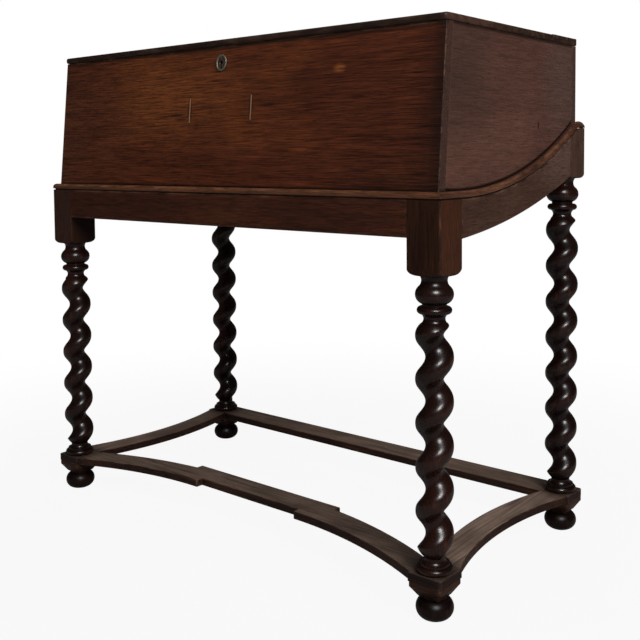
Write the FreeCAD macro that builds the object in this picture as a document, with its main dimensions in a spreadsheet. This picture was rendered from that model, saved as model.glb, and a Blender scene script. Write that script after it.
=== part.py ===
"""Box on stand: a slope-fronted oak box with a hinged lid, on a barley-twist stand.

Millimetres, +Z up. The origin is on the floor under the middle of the stand. The front faces -Y and +X is
the right-hand end. Every size is a cell of the sheet or a formula over its cells.
"""
import FreeCAD, Part
import math
import os
import re
import Sketcher

V = FreeCAD.Vector

# Driving sizes: alias and value, in millimetres unless the name ends in degrees or count.
SIZES = (
    # the stand as a whole
    ("stand_width", 806), ("stand_depth", 410), ("leg_stock", 50),
    ("seat_height", 532), ("seat_rise", 95.5), ("seat_flat_front", 55), ("seat_flat_back", 15),
    ("seat_ease", 30),
    ("front_block_length", 94), ("twist_pitch", 56.25), ("extra_turns_count", 2), ("glue_gap", 0.1),
    ("overrun", 5),
    # rails and their tenons
    ("rail_thick", 22), ("rail_depth", 47.5), ("side_rail_drop", 50), ("side_rail_back_drop", 58),
    ("side_rail_sag", 11), ("tenon_thick", 8), ("tenon_length", 22), ("tenon_shoulder", 8),
    # moulding round the top of the stand
    ("mould_width", 8.2), ("mould_height", 10), ("mould_round", 6.5), ("mould_quirk", 1.2),
    # leg turnings, from the block downwards
    ("pommel_radius", 11), ("neck_top_radius", 19.5), ("neck_radius", 16.6), ("neck_length", 15),
    ("bulb_flank_radius", 20.4), ("bulb_radius", 24.3), ("bulb_length", 21.5),
    ("groove_radius", 15.6), ("groove_length", 3), ("ring_radius", 22.3), ("ring_edge_radius", 17.6),
    ("ring_length", 9.5), ("cove_radius", 13.9), ("cove_edge_radius", 15.6), ("cove_length", 11),
    ("collar_radius", 17.6), ("collar_end_radius", 13.2), ("collar_length", 10),
    # twisted shaft: one round bine wound about the leg's axis
    ("twist_offset", 6.4), ("twist_half_thick", 18), ("twist_half_wide", 19.8), ("top_shoulder_height", 16),
    ("foot_shoulder_height", 20), ("shoulder_swell", 2.1), ("guide_clear", 15),
    ("front_left_twist_degrees", -97), ("front_right_twist_degrees", -156),
    ("back_left_twist_degrees", -141), ("back_right_twist_degrees", -135),
    # turned base and tenon of the leg
    ("base_neck_radius", 14), ("base_cove_height", 7.5), ("base_cove_edge_radius", 17),
    ("base_cove_hollow", 1.2),
    ("base_fillet_radius", 19.4), ("base_fillet_height", 3.5), ("base_ring_radius", 23.9),
    ("base_ring_edge_radius", 21.4), ("base_ring_height", 8.5), ("dowel_radius", 11), ("dowel_length", 32),
    # stretchers, flat boards halved together at the corners
    ("stretcher_top", 60), ("stretcher_thick", 12), ("stretcher_width", 43), ("stretcher_ear", 3.5),
    ("front_bow", 70), ("front_step", 11.5), ("front_step_reach", 106), ("back_step_reach", 152),
    ("side_bow", 26),
    # bun feet
    ("foot_cap_width", 49), ("foot_cap_height", 15), ("foot_cap_bevel", 11), ("foot_neck_radius", 15),
    ("bun_radius", 24.5), ("bun_sole_radius", 15.5), ("bun_height", 30),
    # the box
    ("box_inset", 8.8), ("box_back_inset", 14.7), ("box_top", 752), ("board_thick", 14.5),
    ("front_lean", 20.4),
    ("seat_gap", 0.3), ("stave_count", 5), ("stave_thick", 10), ("stave_set", 3), ("stave_clear", 1.4),
    ("slip_reach", 65.5), ("slip_width", 2.4), ("slip_depth", 4), ("slip_low", 107.5), ("slip_length", 37),
    ("nail_radius", 1.3), ("nail_length", 36), ("rail_nail_length", 34),
    # lid and the fixed rail that it hangs on
    ("lid_thick", 9.7), ("lid_gap", 0.3), ("lid_overhang", 2.9), ("lid_side_overhang", 1), ("lid_nose", 3.6),
    ("lid_front_width", 113), ("hinge_rail_width", 78.7), ("hinge_rail_thick", 11), ("joint_gap", 0.8),
    # two butt hinges
    ("hinge_reach", 250), ("hinge_length", 50), ("hinge_rise", 1.2), ("knuckle_radius", 2.6),
    ("knuckle_count", 5),
    ("knuckle_gap", 0.2), ("knuckle_clear", 0.3), ("pin_radius", 1.2), ("pin_clear", 0.05),
    ("leaf_thick", 1.4),
    ("leaf_height", 9.4), ("leaf_gap", 0.1), ("hinge_screw_radius", 1), ("hinge_screw_length", 12),
    ("hinge_screw_head_radius", 2), ("hinge_screw_head_height", 1), ("hinge_screw_spread", 18),
    ("hinge_screw_drop", 6.1),
    # lock, let into the back of the front board
    ("lock_width", 64), ("lock_height", 40), ("lock_depth", 12), ("lock_wall", 9), ("key_drop", 25),
    ("key_radius", 2.6), ("key_slot_width", 2.4), ("key_slot_drop", 8), ("key_room_radius", 8.5),
    ("key_room_depth", 10),
    ("bolt_height", 6), ("bolt_thick", 4), ("bolt_length", 34), ("bolt_drop", 14), ("bolt_back_wall", 4.2),
    ("bolt_clear", 0.1), ("bolt_travel", 9), ("bolt_tail_drop", 5),
    ("staple_reach", 15), ("staple_thick", 2.5), ("staple_width", 7.2), ("staple_length", 16.5),
    ("staple_side_clear", 0.7), ("staple_swing_clear", 1.8), ("staple_back_clear", 0.8),
    ("staple_eye_clear", 0.4),
    ("staple_plate_width", 24), ("staple_plate_depth", 11.6), ("staple_plate_thick", 1.6),
    ("staple_screw_spread", 7.5), ("staple_screw_radius", 1.2), ("staple_screw_length", 6),
    ("staple_screw_head_radius", 2.2), ("staple_screw_head_height", 1),
    ("lock_screw_radius", 1.4), ("lock_screw_length", 18), ("lock_screw_head_radius", 2.8),
    ("lock_screw_head_height", 1.4), ("lock_screw_margin", 4.5),
    # oval key plate on the front
    ("plate_half_width", 11.2), ("plate_half_height", 12.6), ("plate_thick", 1.2), ("plate_rim_width", 2.4),
    ("plate_rim_height", 0.9), ("plate_key_radius", 2.3), ("plate_key_slot", 2), ("plate_pin_radius", 0.8),
    ("plate_pin_length", 9), ("plate_pin_margin", 4.2),
)

# Formulas over the sheet's cells. Depths run along Y from the middle of the stand.
FORMULAS = {
    "half_width": "stand_width / 2",
    "half_depth": "stand_depth / 2",
    "leg_x": "half_width - leg_stock / 2",
    "leg_y": "half_depth - leg_stock / 2",
    "inner_x": "half_width - leg_stock",
    "inner_y": "half_depth - leg_stock",
    # the seat: level over the front blocks, a long hollow arc, a short round and level again at the back
    "seat_run": "stand_depth - seat_flat_front - seat_flat_back",
    "ogee_sum": "(seat_run ^ 2 + seat_rise ^ 2) / (2 * seat_rise)",
    "seat_radius": "ogee_sum - seat_ease",
    "ogee_sin": "seat_run / ogee_sum",
    "ogee_cos": "1 - seat_rise / ogee_sum",
    "bend_y": "seat_flat_front - half_depth",
    "knee_y": "bend_y + seat_radius * ogee_sin",
    "knee_z": "seat_height + seat_radius * (1 - ogee_cos)",
    "rest_y": "half_depth - seat_flat_back",
    "rest_z": "seat_height + seat_rise",
    "front_block_low": "seat_height - front_block_length",
    "back_block_low": "front_block_low + extra_turns_count * twist_pitch",
    "turning_height": "neck_length + bulb_length + groove_length + ring_length + cove_length",
    "base_height": "base_ring_height + base_fillet_height + base_cove_height",
    "twist_low": "stretcher_top + base_height",
    "twist_reach": "twist_offset + twist_half_thick",
    "stretcher_low": "stretcher_top - stretcher_thick",
    "lap_z": "stretcher_top - stretcher_thick / 2",
    "rail_low": "seat_height - rail_depth",
    "back_rail_low": "rest_z - rail_depth",
    "side_rail_low": "seat_height - side_rail_drop",
    # the box
    "box_half": "half_width - box_inset",
    "box_inner": "box_half - board_thick",
    "front_y": "box_inset - half_depth",
    "front_height": "box_top - seat_height",
    "front_top_y": "front_y + front_lean",
    "back_y": "half_depth - box_back_inset",
    "back_inner_y": "back_y - board_thick",
    "stave_front_y": "front_y + board_thick + stave_clear",
    # lid and hinge axis
    "lid_half": "box_half + lid_side_overhang",
    "lid_front_y": "front_top_y - lid_overhang",
    "lid_low": "box_top + lid_gap",
    "lid_high": "lid_low + lid_thick",
    "lid_joint_y": "lid_front_y + lid_front_width",
    "hinge_y": "back_y - hinge_rail_width - joint_gap / 2",
    "hinge_z": "lid_high + hinge_rise",
    "leaf_low": "hinge_z - leaf_height",
    "leaf_high": "hinge_z - knuckle_radius - knuckle_gap",
    "knuckle_length": "hinge_length / knuckle_count",
    # lock
    "lock_y": "front_top_y + lock_wall",
    "lock_high": "box_top - seat_gap",
    "lock_low": "lock_high - lock_height",
    "key_z": "box_top - key_drop",
    "bolt_low": "box_top - bolt_drop",
    "bolt_y": "lock_y + bolt_back_wall",
    "bolt_end": "staple_reach - staple_thick / 2 - staple_side_clear - bolt_clear - staple_eye_clear",
    "bolt_tail_width": "2 * (staple_reach - staple_thick / 2 - staple_side_clear - bolt_travel)",
    "staple_y": "bolt_y + bolt_thick / 2 - staple_width / 2",
    "staple_low": "lid_low - staple_length",
}

doc = FreeCAD.newDocument("box_on_stand")
sheet = doc.addObject("Spreadsheet::Sheet", "sizes")
for row, (alias, amount) in enumerate(SIZES, start=1):
    sheet.set(f"A{row}", alias)
    sheet.set(f"B{row}", str(amount))
    sheet.setAlias(f"B{row}", alias)
doc.recompute()

ALIASES = {alias for alias, amount in SIZES}
WORD = re.compile(r"[a-z][a-z_0-9]*")
PIECES = []


def bound(text):
    """The expression with its formulas opened up and its sizes pointing at the sheet's cells."""
    def swap(match):
        word = match.group()
        if word in FORMULAS:
            return "(" + bound(FORMULAS[word]) + ")"
        return "sizes." + word if word in ALIASES else word
    return WORD.sub(swap, text)


def value(text):
    """The expression's value in millimetres, degrees or counts."""
    answer = doc.sizes.evalExpression(bound(text))
    return float(getattr(answer, "Value", answer))


def bind(thing, prop, text):
    """Ties a property to an expression over the sheet, unless it stays at zero."""
    if text != "0":
        thing.setExpression(prop, bound(text))


def place(thing, x="0", y="0", z="0"):
    """Ties the place of an object to expressions."""
    for axis, text in zip("xyz", (x, y, z)):
        bind(thing, "Placement.Base." + axis, text)


def new_body(label, x="0", y="0", z="0"):
    """An empty body for one piece, standing at a place of its own."""
    body = doc.addObject("PartDesign::Body", label)
    body.Label = label
    place(body, x, y, z)
    PIECES.append(body)
    return body


def flip(side, low, high):
    """A low and high bound on the right-hand side, or their mirror image on the left."""
    return (low, high) if side > 0 else (f"-({high})", f"-({low})")


def sagitta_radius(chord, rise):
    """The radius of an arc over a chord, from its rise."""
    return f"((({chord}) / 2) ^ 2 + ({rise}) ^ 2) / (2 * ({rise}))"


def arc_between(start, end, radius, turn):
    """The short arc between two points; turn is 1 for anticlockwise and -1 for clockwise."""
    chord = end - start
    left = V(-chord.y, chord.x, 0).normalize()
    centre = (start + end) * 0.5 + left * turn * math.sqrt(radius ** 2 - (chord.Length / 2) ** 2)
    first, last = (start, end) if turn > 0 else (end, start)
    angles = [math.atan2(spot.y - centre.y, spot.x - centre.x) for spot in (first, last)]
    return Part.ArcOfCircle(Part.Circle(centre, V(0, 0, 1), radius), *angles)


def flat_sketch(body, name, role, height="0"):
    """An empty sketch on one of the body's own planes, raised along the plane's normal."""
    sketch = body.newObject("Sketcher::SketchObject", name)
    sketch.AttachmentSupport = [(next(f for f in body.Origin.OriginFeatures if f.Role == role), "")]
    sketch.MapMode = "FlatFace"
    bind(sketch, "AttachmentOffset.Base.z", height)
    return sketch


def pin_point(sketch, edge, end, x, y):
    """Dimensions one end of a sketch edge from the sketch's origin."""
    for text, kind, axis in ((x, "DistanceX", -2), (y, "DistanceY", -1)):
        if text == "0":
            sketch.addConstraint(Sketcher.Constraint("PointOnObject", edge, end, axis))
        else:
            spot = sketch.addConstraint(Sketcher.Constraint(kind, -1, 1, edge, end, value(text)))
            sketch.setExpression(f"Constraints[{spot}]", bound(text))


def outline(body, name, role, points, height="0"):
    """A closed, fully dimensioned outline.

    Each point is a pair of expressions. A third entry bends the edge that leaves it: the radius and the turn.
    """
    sketch = flat_sketch(body, name, role, height)
    spots = [V(value(point[0]), value(point[1]), 0) for point in points]
    ends = []
    for index, point in enumerate(points):
        start, end = spots[index], spots[(index + 1) % len(spots)]
        turn = 1
        if len(point) == 2:
            edge = sketch.addGeometry(Part.LineSegment(start, end))
        else:
            radius, turn = point[2]
            edge = sketch.addGeometry(arc_between(start, end, value(radius), turn))
        ends.append((edge, 1, 2) if turn > 0 else (edge, 2, 1))
    for index, (edge, start, end) in enumerate(ends):
        following, first, _ = ends[(index + 1) % len(ends)]
        sketch.addConstraint(Sketcher.Constraint("Coincident", edge, end, following, first))
        pin_point(sketch, edge, start, *points[index][:2])
        if len(points[index]) > 2:
            spot = sketch.addConstraint(Sketcher.Constraint("Radius", edge, value(points[index][2][0])))
            sketch.setExpression(f"Constraints[{spot}]", bound(points[index][2][0]))
    return sketch


def thicken(body, name, sketch, length, symmetric=False, reverse=False, cut=False):
    """A pad of a sketch, or a pocket when it cuts."""
    feature = body.newObject("PartDesign::Pocket" if cut else "PartDesign::Pad", name)
    feature.Profile = sketch
    feature.SideType = "Symmetric" if symmetric else "One side"
    feature.Reversed = reverse
    bind(feature, "Length", length)
    return feature


def turn_profile(body, name, points, cut=False):
    """A profile of radius and height turned about the body's own Z axis."""
    sketch = outline(body, name + "_profile", "XZ_Plane", points)
    feature = body.newObject("PartDesign::Groove" if cut else "PartDesign::Revolution", name)
    feature.Profile = sketch
    feature.ReferenceAxis = (sketch, ["V_Axis"])
    return feature


def block(body, name, x_span, y_span, z_span, cut=False):
    """A rectangular block added to a body, or cut from it, between pairs of bounds."""
    feature = body.newObject("PartDesign::SubtractiveBox" if cut else "PartDesign::AdditiveBox", name)
    spans = (x_span, y_span, z_span)
    for prop, (low, high) in zip(("Length", "Width", "Height"), spans):
        bind(feature, prop, f"({high}) - ({low})")
    place(feature, *(low for low, high in spans))
    return feature


# Turns that lay a rod's own +Z along the named direction.
DIRECTIONS = {
    "+x": FreeCAD.Rotation(V(0, 1, 0), 90),
    "+y": FreeCAD.Rotation(V(1, 0, 0), -90),
    "-y": FreeCAD.Rotation(V(1, 0, 0), 90),
    "+z": FreeCAD.Rotation(),
    "-z": FreeCAD.Rotation(V(1, 0, 0), 180),
}


def rod(body, name, start, direction, radius, length, cut=False):
    """A round rod added to a body, or a round hole cut in it."""
    feature = body.newObject("PartDesign::SubtractiveCylinder" if cut else "PartDesign::AdditiveCylinder",
                             name)
    feature.Placement = FreeCAD.Placement(V(), DIRECTIONS[direction])
    bind(feature, "Radius", radius)
    bind(feature, "Height", length)
    place(feature, *start)
    return feature


def sink(body, name, start, direction, head_radius, shank_radius, depth):
    """A countersink for a screw's head."""
    feature = body.newObject("PartDesign::SubtractiveCone", name)
    feature.Placement = FreeCAD.Placement(V(), DIRECTIONS[direction])
    bind(feature, "Radius1", head_radius)
    bind(feature, "Radius2", shank_radius)
    bind(feature, "Height", depth)
    place(feature, *start)
    return feature


def peg(name, start, direction, radius, length):
    """One plain nail or pin, as a loose cylinder."""
    piece = doc.addObject("Part::Cylinder", name)
    piece.Placement = FreeCAD.Placement(V(), DIRECTIONS[direction])
    bind(piece, "Radius", radius)
    bind(piece, "Height", length)
    place(piece, *start)
    return piece


def screw(name, start, direction, kind):
    """One countersunk screw; kind is the start of its sizes' names."""
    head = doc.addObject("Part::Cone", name + "_head")
    head.Placement = FreeCAD.Placement(V(), DIRECTIONS[direction])
    bind(head, "Radius1", kind + "_head_radius")
    bind(head, "Radius2", kind + "_radius")
    bind(head, "Height", kind + "_head_height")
    place(head, *start)
    shank = peg(name + "_shank", start, direction, kind + "_radius", kind + "_length")
    whole = doc.addObject("Part::Fuse", name)
    whole.Base, whole.Tool = head, shank
    return whole


def group(label, items):
    """Like fasteners that share one node."""
    bundle = doc.addObject("Part::Compound", label)
    bundle.Label = label
    bundle.Links = items
    PIECES.append(bundle)
    return bundle


def edges_where(feature, test):
    """The names of a feature's edges whose two ends and middle all pass a test."""
    names = []
    edge_shares = (0, 0.5, 1)
    for index, edge in enumerate(feature.Shape.Edges, start=1):
        spots = [edge.valueAt(edge.FirstParameter + share * (edge.LastParameter - edge.FirstParameter))
                 for share in edge_shares]
        if all(test(spot) for spot in spots):
            names.append(f"Edge{index}")
    return names


def dress(body, kind, name, edges, size):
    """A fillet or chamfer along named edges of the body's last feature."""
    base = body.Tip
    feature = body.newObject("PartDesign::" + kind, name)
    feature.Base = (base, edges)
    bind(feature, "Radius" if kind == "Fillet" else "Size", size)
    return feature


def seat_line(offset="0"):
    """The points of the seat's curve, moved along its normal, from the front face to the back face."""
    return [
        ("-half_depth", f"seat_height + {offset}"),
        ("bend_y", f"seat_height + {offset}", (f"seat_radius - ({offset})", 1)),
        (f"knee_y - ({offset}) * ogee_sin", f"knee_z + ({offset}) * ogee_cos", (f"seat_ease + {offset}", -1)),
        ("rest_y", f"rest_z + {offset}"),
        ("half_depth", f"rest_z + {offset}"),
    ]


def shifted(points, shift):
    """The same points with their first coordinate measured from another place."""
    return [(f"{point[0]} - ({shift})", *point[1:]) for point in points]


def trim_to_seat(body, name, keep_below, offset="0", shift="0"):
    """Cuts a body along the seat's curve, through its whole width."""
    far = "box_top + overrun" if keep_below else "stretcher_top"
    points = seat_line(offset) + [("half_depth", far), ("-half_depth", far)]
    sketch = outline(body, name + "_line", "YZ_Plane", shifted(points, shift) if shift != "0" else points)
    return thicken(body, name, sketch, "stand_width + 2 * overrun", symmetric=True, cut=True)


def seat_z(y):
    """The seat's height at a depth."""
    hollow = f"seat_height + seat_radius - sqrt(max(0; seat_radius ^ 2 - ({y} - bend_y) ^ 2))"
    ease = f"rest_z - seat_ease + sqrt(max(0; seat_ease ^ 2 - (rest_y - ({y})) ^ 2))"
    return f"({y} < bend_y ? seat_height : ({y} < knee_y ? {hollow} : ({y} < rest_y ? {ease} : rest_z)))"


def front_face_y(z):
    """The depth of the leaning front face at a height."""
    return f"(front_y + front_lean * ({z} - seat_height) / front_height)"


# Legs

def leg_turnings(low):
    """The turned profile under the block: neck, bulb, groove, ring, cove and collar, as radius and height."""
    levels = [low]
    for part in ("neck", "bulb", "groove", "ring", "cove", "collar"):
        levels.append(f"{levels[-1]} - {part}_length")
    neck = sagitta_radius("sqrt(neck_length ^ 2 + (neck_top_radius - bulb_flank_radius) ^ 2)",
                          "(neck_top_radius + bulb_flank_radius) / 2 - neck_radius")
    bulb = sagitta_radius("sqrt(bulb_length ^ 2 + (bulb_flank_radius - groove_radius) ^ 2)",
                          "bulb_radius - (bulb_flank_radius + groove_radius) / 2")
    ring = sagitta_radius("ring_length", "ring_radius - ring_edge_radius")
    cove = sagitta_radius("sqrt(cove_length ^ 2 + (ring_edge_radius - cove_edge_radius) ^ 2)",
                          "(ring_edge_radius + cove_edge_radius) / 2 - cove_radius")
    collar = sagitta_radius("sqrt(collar_length ^ 2 + (cove_edge_radius - collar_end_radius) ^ 2)",
                            "collar_radius - (cove_edge_radius + collar_end_radius) / 2")
    return [
        ("0", levels[0]), ("neck_top_radius", levels[0], (neck, 1)),
        ("bulb_flank_radius", levels[1], (bulb, -1)),
        ("groove_radius", levels[2]), ("groove_radius", levels[3]),
        ("ring_edge_radius", levels[3], (ring, -1)),
        ("ring_edge_radius", levels[4], (cove, 1)), ("cove_edge_radius", levels[5], (collar, -1)),
        ("collar_end_radius", levels[6]), ("0", levels[6]),
    ]


def leg_base():
    """The turned profile at the foot of the leg: neck, cove, fillet, ring and the dowel below."""
    fillet_low = "stretcher_top + base_ring_height"
    cove_low = f"{fillet_low} + base_fillet_height"
    cove = sagitta_radius("sqrt(base_cove_height ^ 2 + (base_cove_edge_radius - base_neck_radius) ^ 2)",
                          "base_cove_hollow")
    ring = sagitta_radius("base_ring_height", "base_ring_radius - base_ring_edge_radius")
    return [
        ("0", "twist_low + foot_shoulder_height / 2"),
        ("collar_end_radius", "twist_low + foot_shoulder_height / 2"),
        ("base_neck_radius", "twist_low", (cove, 1)), ("base_cove_edge_radius", cove_low),
        ("base_fillet_radius", cove_low), ("base_fillet_radius", fillet_low),
        ("base_ring_edge_radius", fillet_low, (ring, -1)), ("base_ring_edge_radius", "stretcher_top"),
        ("dowel_radius", "stretcher_top"), ("dowel_radius", "stretcher_top - dowel_length"),
        ("0", "stretcher_top - dowel_length"),
    ]


def twist_shaft(body, name, high, degrees, x, y):
    """The twisted shaft: an oval set off the axis, carried up a straight spine and turned by a helix."""
    oval = flat_sketch(body, "bine", "XY_Plane")
    oval.AttachmentOffset = FreeCAD.Placement(V(), FreeCAD.Rotation(V(0, 0, 1), 1))
    bind(oval, "AttachmentOffset.Base.z", "twist_low")
    bind(oval, "AttachmentOffset.Rotation.Angle", degrees)
    offset, thick, wide = value("twist_offset"), value("twist_half_thick"), value("twist_half_wide")
    curve = oval.addGeometry(Part.Ellipse(V(offset, wide, 0), V(offset + thick, 0, 0), V(offset, 0, 0)))
    oval.exposeInternalGeometry(curve)
    long_axis, short_axis = curve + 1, curve + 2
    oval.addConstraint(Sketcher.Constraint("PointOnObject", curve, 3, -1))
    oval.addConstraint(Sketcher.Constraint("Vertical", long_axis))
    for kind, target, text in (("DistanceX", (-1, 1, curve, 3), "twist_offset"),
                               ("Distance", (long_axis,), "2 * twist_half_wide"),
                               ("Distance", (short_axis,), "2 * twist_half_thick")):
        spot = oval.addConstraint(Sketcher.Constraint(kind, *target, value(text)))
        oval.setExpression(f"Constraints[{spot}]", bound(text))
    spine = flat_sketch(body, "spine", "XZ_Plane")
    edge = spine.addGeometry(Part.LineSegment(V(0, value("twist_low"), 0), V(0, value(high), 0)))
    pin_point(spine, edge, 1, "0", "twist_low")
    pin_point(spine, edge, 2, "0", high)
    guide = doc.addObject("Part::Helix", name + "_guide")
    bind(guide, "Pitch", "twist_pitch")
    bind(guide, "Height", f"{high} - (twist_low)")
    bind(guide, "Radius", "twist_reach + guide_clear")
    place(guide, x, y, "twist_low")
    binder = body.newObject("PartDesign::SubShapeBinder", "guide")
    binder.Support = [(guide, ("",))]
    doc.recompute()
    pipe = body.newObject("PartDesign::AdditivePipe", "twist")
    pipe.Profile = oval
    pipe.Spine = (spine, ["Edge1"])
    pipe.Mode = "Auxiliary"
    pipe.AuxiliarySpine = (binder, [f"Edge{index}" for index in range(1, len(binder.Shape.Edges) + 1)])
    pipe.AuxiliaryCurvilinear = True


def twist_shoulders(body, high):
    """Rounds the two ends of the twist down to the necks beside them."""
    for name, level, radius, way, rise in (("foot_shoulder", "twist_low", "base_neck_radius", 1,
                                            "foot_shoulder_height"),
                                           ("top_shoulder", high, "cove_edge_radius", -1,
                                            "top_shoulder_height")):
        inner = f"{level} + {way} * ({rise})"
        reach = "twist_reach + glue_gap"
        swell = sagitta_radius(f"sqrt(({rise}) ^ 2 + ({reach} - {radius}) ^ 2)", "shoulder_swell")
        turn_profile(body, name, [
            (radius, level, (swell, way)), (reach, inner), (f"{reach} + overrun", inner),
            (f"{reach} + overrun", level),
        ], cut=True)


def leg_mortises(body, side, end):
    """Mortises for the long rail and for the side rail, in the two inner faces of the block."""
    low, high = ("rail_low", "seat_height") if end < 0 else ("back_rail_low", "rest_z")
    side_low, side_high = side_tenon_span(end)
    half, slack = "leg_stock / 2", "glue_gap"
    across = (f"{half} - rail_thick / 2 - tenon_thick / 2 - {slack}",
              f"{half} - rail_thick / 2 + tenon_thick / 2 + {slack}")
    along = (f"-({half})", f"tenon_length - {half} + {slack}")
    block(body, "rail_mortise", flip(side, *along), flip(end, *across),
          (f"{low} + tenon_shoulder - {slack}", f"{high} - tenon_shoulder + {slack}"), cut=True)
    block(body, "side_mortise", flip(side, *across), flip(end, *along),
          (f"{side_low} - {slack}", f"{side_high} + {slack}"), cut=True)


def leg(label, side, end):
    """One leg: square block, turnings, twisted shaft, turned base and dowel."""
    x, y = f"{side} * leg_x", f"{end} * leg_y"
    low = "front_block_low" if end < 0 else "back_block_low"
    body = new_body(label, x, y)
    high = f"{low} - (turning_height)"
    twist_shaft(body, label, high, label[4:] + "_twist_degrees", x, y)
    twist_shoulders(body, high)
    turn_profile(body, "base", leg_base())
    turn_profile(body, "turnings", leg_turnings(low))
    half = "leg_stock / 2"
    block(body, "block", (f"-{half}", half), (f"-{half}", half),
          (low, "seat_height" if end < 0 else "rest_z"))
    if end > 0:
        trim_to_seat(body, "seat", keep_below=True, shift="leg_y")
    corner = f"{half} + pommel_radius"
    turn_profile(body, "pommel", [
        (half, low, ("pommel_radius", 1)), (corner, f"{low} + pommel_radius"), (corner, low),
    ], cut=True)
    leg_mortises(body, side, end)


# Rails and moulding

def side_tenon_span(end):
    """The bottom and top of a side rail's tenon at its front or back end."""
    if end < 0:
        return "side_rail_low + tenon_shoulder", "seat_height - tenon_shoulder"
    top = seat_z("inner_y")
    return f"{top} - side_rail_back_drop + tenon_shoulder", f"{top} - tenon_shoulder"


def long_rail(label, end):
    """The front or back rail, tenoned into the blocks."""
    body = new_body(label)
    low, high = ("rail_low", "seat_height") if end < 0 else ("back_rail_low", "rest_z")
    faces = flip(end, "half_depth - rail_thick", "half_depth")
    block(body, "rail", ("-(inner_x)", "inner_x"), faces, (low, high))
    cheeks = flip(end, "half_depth - rail_thick / 2 - tenon_thick / 2",
                  "half_depth - rail_thick / 2 + tenon_thick / 2")
    block(body, "tenons", ("-(inner_x) - tenon_length", "inner_x + tenon_length"), cheeks,
          (f"{low} + tenon_shoulder", f"{high} - tenon_shoulder"))


def side_rail(label, side):
    """A side rail: hollow along its top, where the box sits, and arched along its lower edge."""
    body = new_body(label)
    back_low = f"{seat_z('inner_y')} - side_rail_back_drop"
    chord = f"sqrt((2 * inner_y) ^ 2 + ({back_low} - side_rail_low) ^ 2)"
    sketch = outline(body, "rail_outline", "YZ_Plane", [
        ("-(inner_y)", "side_rail_low", (sagitta_radius(chord, "side_rail_sag"), 1)), ("inner_y", back_low),
        ("inner_y", "rest_z"), ("-(inner_y)", "rest_z"),
    ], height=f"{side} * (half_width)")
    thicken(body, "rail", sketch, "rail_thick", reverse=side > 0)
    trim_to_seat(body, "seat", keep_below=True)
    cheeks = flip(side, "half_width - rail_thick / 2 - tenon_thick / 2",
                  "half_width - rail_thick / 2 + tenon_thick / 2")
    for end, name in ((-1, "front_tenon"), (1, "back_tenon")):
        block(body, name, cheeks, flip(end, "inner_y", "inner_y + tenon_length"), side_tenon_span(end))


def mitre(body, name, side, keep_front):
    """Cuts the mitre where the front moulding meets a side moulding."""
    outer, inner = "half_width + overrun", "half_width - mould_width - overrun"
    near, far = "-(half_depth) - overrun", "mould_width + overrun - half_depth"
    corner = (outer, far) if keep_front else (inner, near)
    points = [(f"{side} * ({x})", y) for x, y in ((outer, near), (inner, far), corner)]
    sketch = outline(body, name + "_line", "XY_Plane", points, height="stretcher_top")
    thicken(body, name, sketch, "box_top", reverse=True, cut=True)


def round_moulding(body, top, low, faces):
    """The moulding's rounded upper edge and the quirk along its foot, on the outer face."""
    slack = value("glue_gap")
    def on_line(level):
        return lambda spot: faces(spot) and abs(spot.z - level(spot.y)) < slack
    doc.recompute()
    dress(body, "Fillet", "round", edges_where(body.Tip, on_line(top)), "mould_round")
    doc.recompute()
    dress(body, "Chamfer", "quirk", edges_where(body.Tip, on_line(low)), "mould_quirk")


def front_moulding():
    """The straight strip along the front, mitred at both ends."""
    body = new_body("moulding_front")
    block(body, "strip", ("-(half_width)", "half_width"), ("-(half_depth)", "mould_width - half_depth"),
          ("seat_height", "seat_height + mould_height"))
    front, seat, height, slack = (value(name) for name in ("-(half_depth)", "seat_height", "mould_height",
                                                           "glue_gap"))
    round_moulding(body, lambda y: seat + height, lambda y: seat, lambda spot: abs(spot.y - front) < slack)
    for side in (-1, 1):
        mitre(body, f"mitre_{'left' if side < 0 else 'right'}", side, keep_front=True)


def side_moulding(label, side):
    """The strip that follows the hollow seat along one side."""
    body = new_body(label)
    points = seat_line() + list(reversed_line("mould_height"))
    sketch = outline(body, "strip_outline", "YZ_Plane", points, height=f"{side} * (half_width)")
    thicken(body, "strip", sketch, "mould_width", reverse=side > 0)
    outer, slack, height = value(f"{side} * (half_width)"), value("glue_gap"), value("mould_height")
    curve = [Part.Edge(geometry.toShape()) for geometry in sketch.Geometry[:4]]
    low = Part.Wire(curve)
    doc.recompute()
    def outer_edges(wanted):
        names = []
        for index, edge in enumerate(body.Tip.Shape.Edges, start=1):
            middle = edge.valueAt((edge.FirstParameter + edge.LastParameter) / 2)
            away = low.distToShape(Part.Vertex(middle.y, middle.z, 0))[0]
            across = abs(edge.Vertexes[0].X - edge.Vertexes[-1].X) + abs(middle.x - outer)
            if across < slack and abs(away - wanted) < slack:
                names.append(f"Edge{index}")
        return names
    dress(body, "Fillet", "round", outer_edges(height), "mould_round")
    doc.recompute()
    dress(body, "Chamfer", "quirk", outer_edges(0), "mould_quirk")
    mitre(body, "mitre", side, keep_front=False)


def reversed_line(offset):
    """The seat's curve run from the back face to the front face, so that outlines can close."""
    line = seat_line(offset)
    for index in range(len(line) - 1, -1, -1):
        bend = line[index - 1][2:] if index > 0 else ()
        yield (*line[index][:2], *((radius, -turn) for radius, turn in bend))


# Stretchers and feet

def corner_laps(body, corners, keep_top):
    """Halves the ends of a stretcher and bores them for the legs' dowels."""
    span = ("stretcher_low - overrun", "lap_z") if keep_top else ("lap_z", "stretcher_top + overrun")
    for side, end in corners:
        name = f"{'left' if side < 0 else 'right'}_{'front' if end < 0 else 'back'}"
        block(body, "lap_" + name, flip(side, "inner_x", "half_width + overrun"),
              flip(end, "inner_y", "half_depth + overrun"), span, cut=True)
        rod(body, "bore_" + name, (f"{side} * leg_x", f"{end} * leg_y", "stretcher_low - overrun"), "+z",
            "dowel_radius + glue_gap", "stretcher_thick + 2 * overrun", cut=True)


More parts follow.
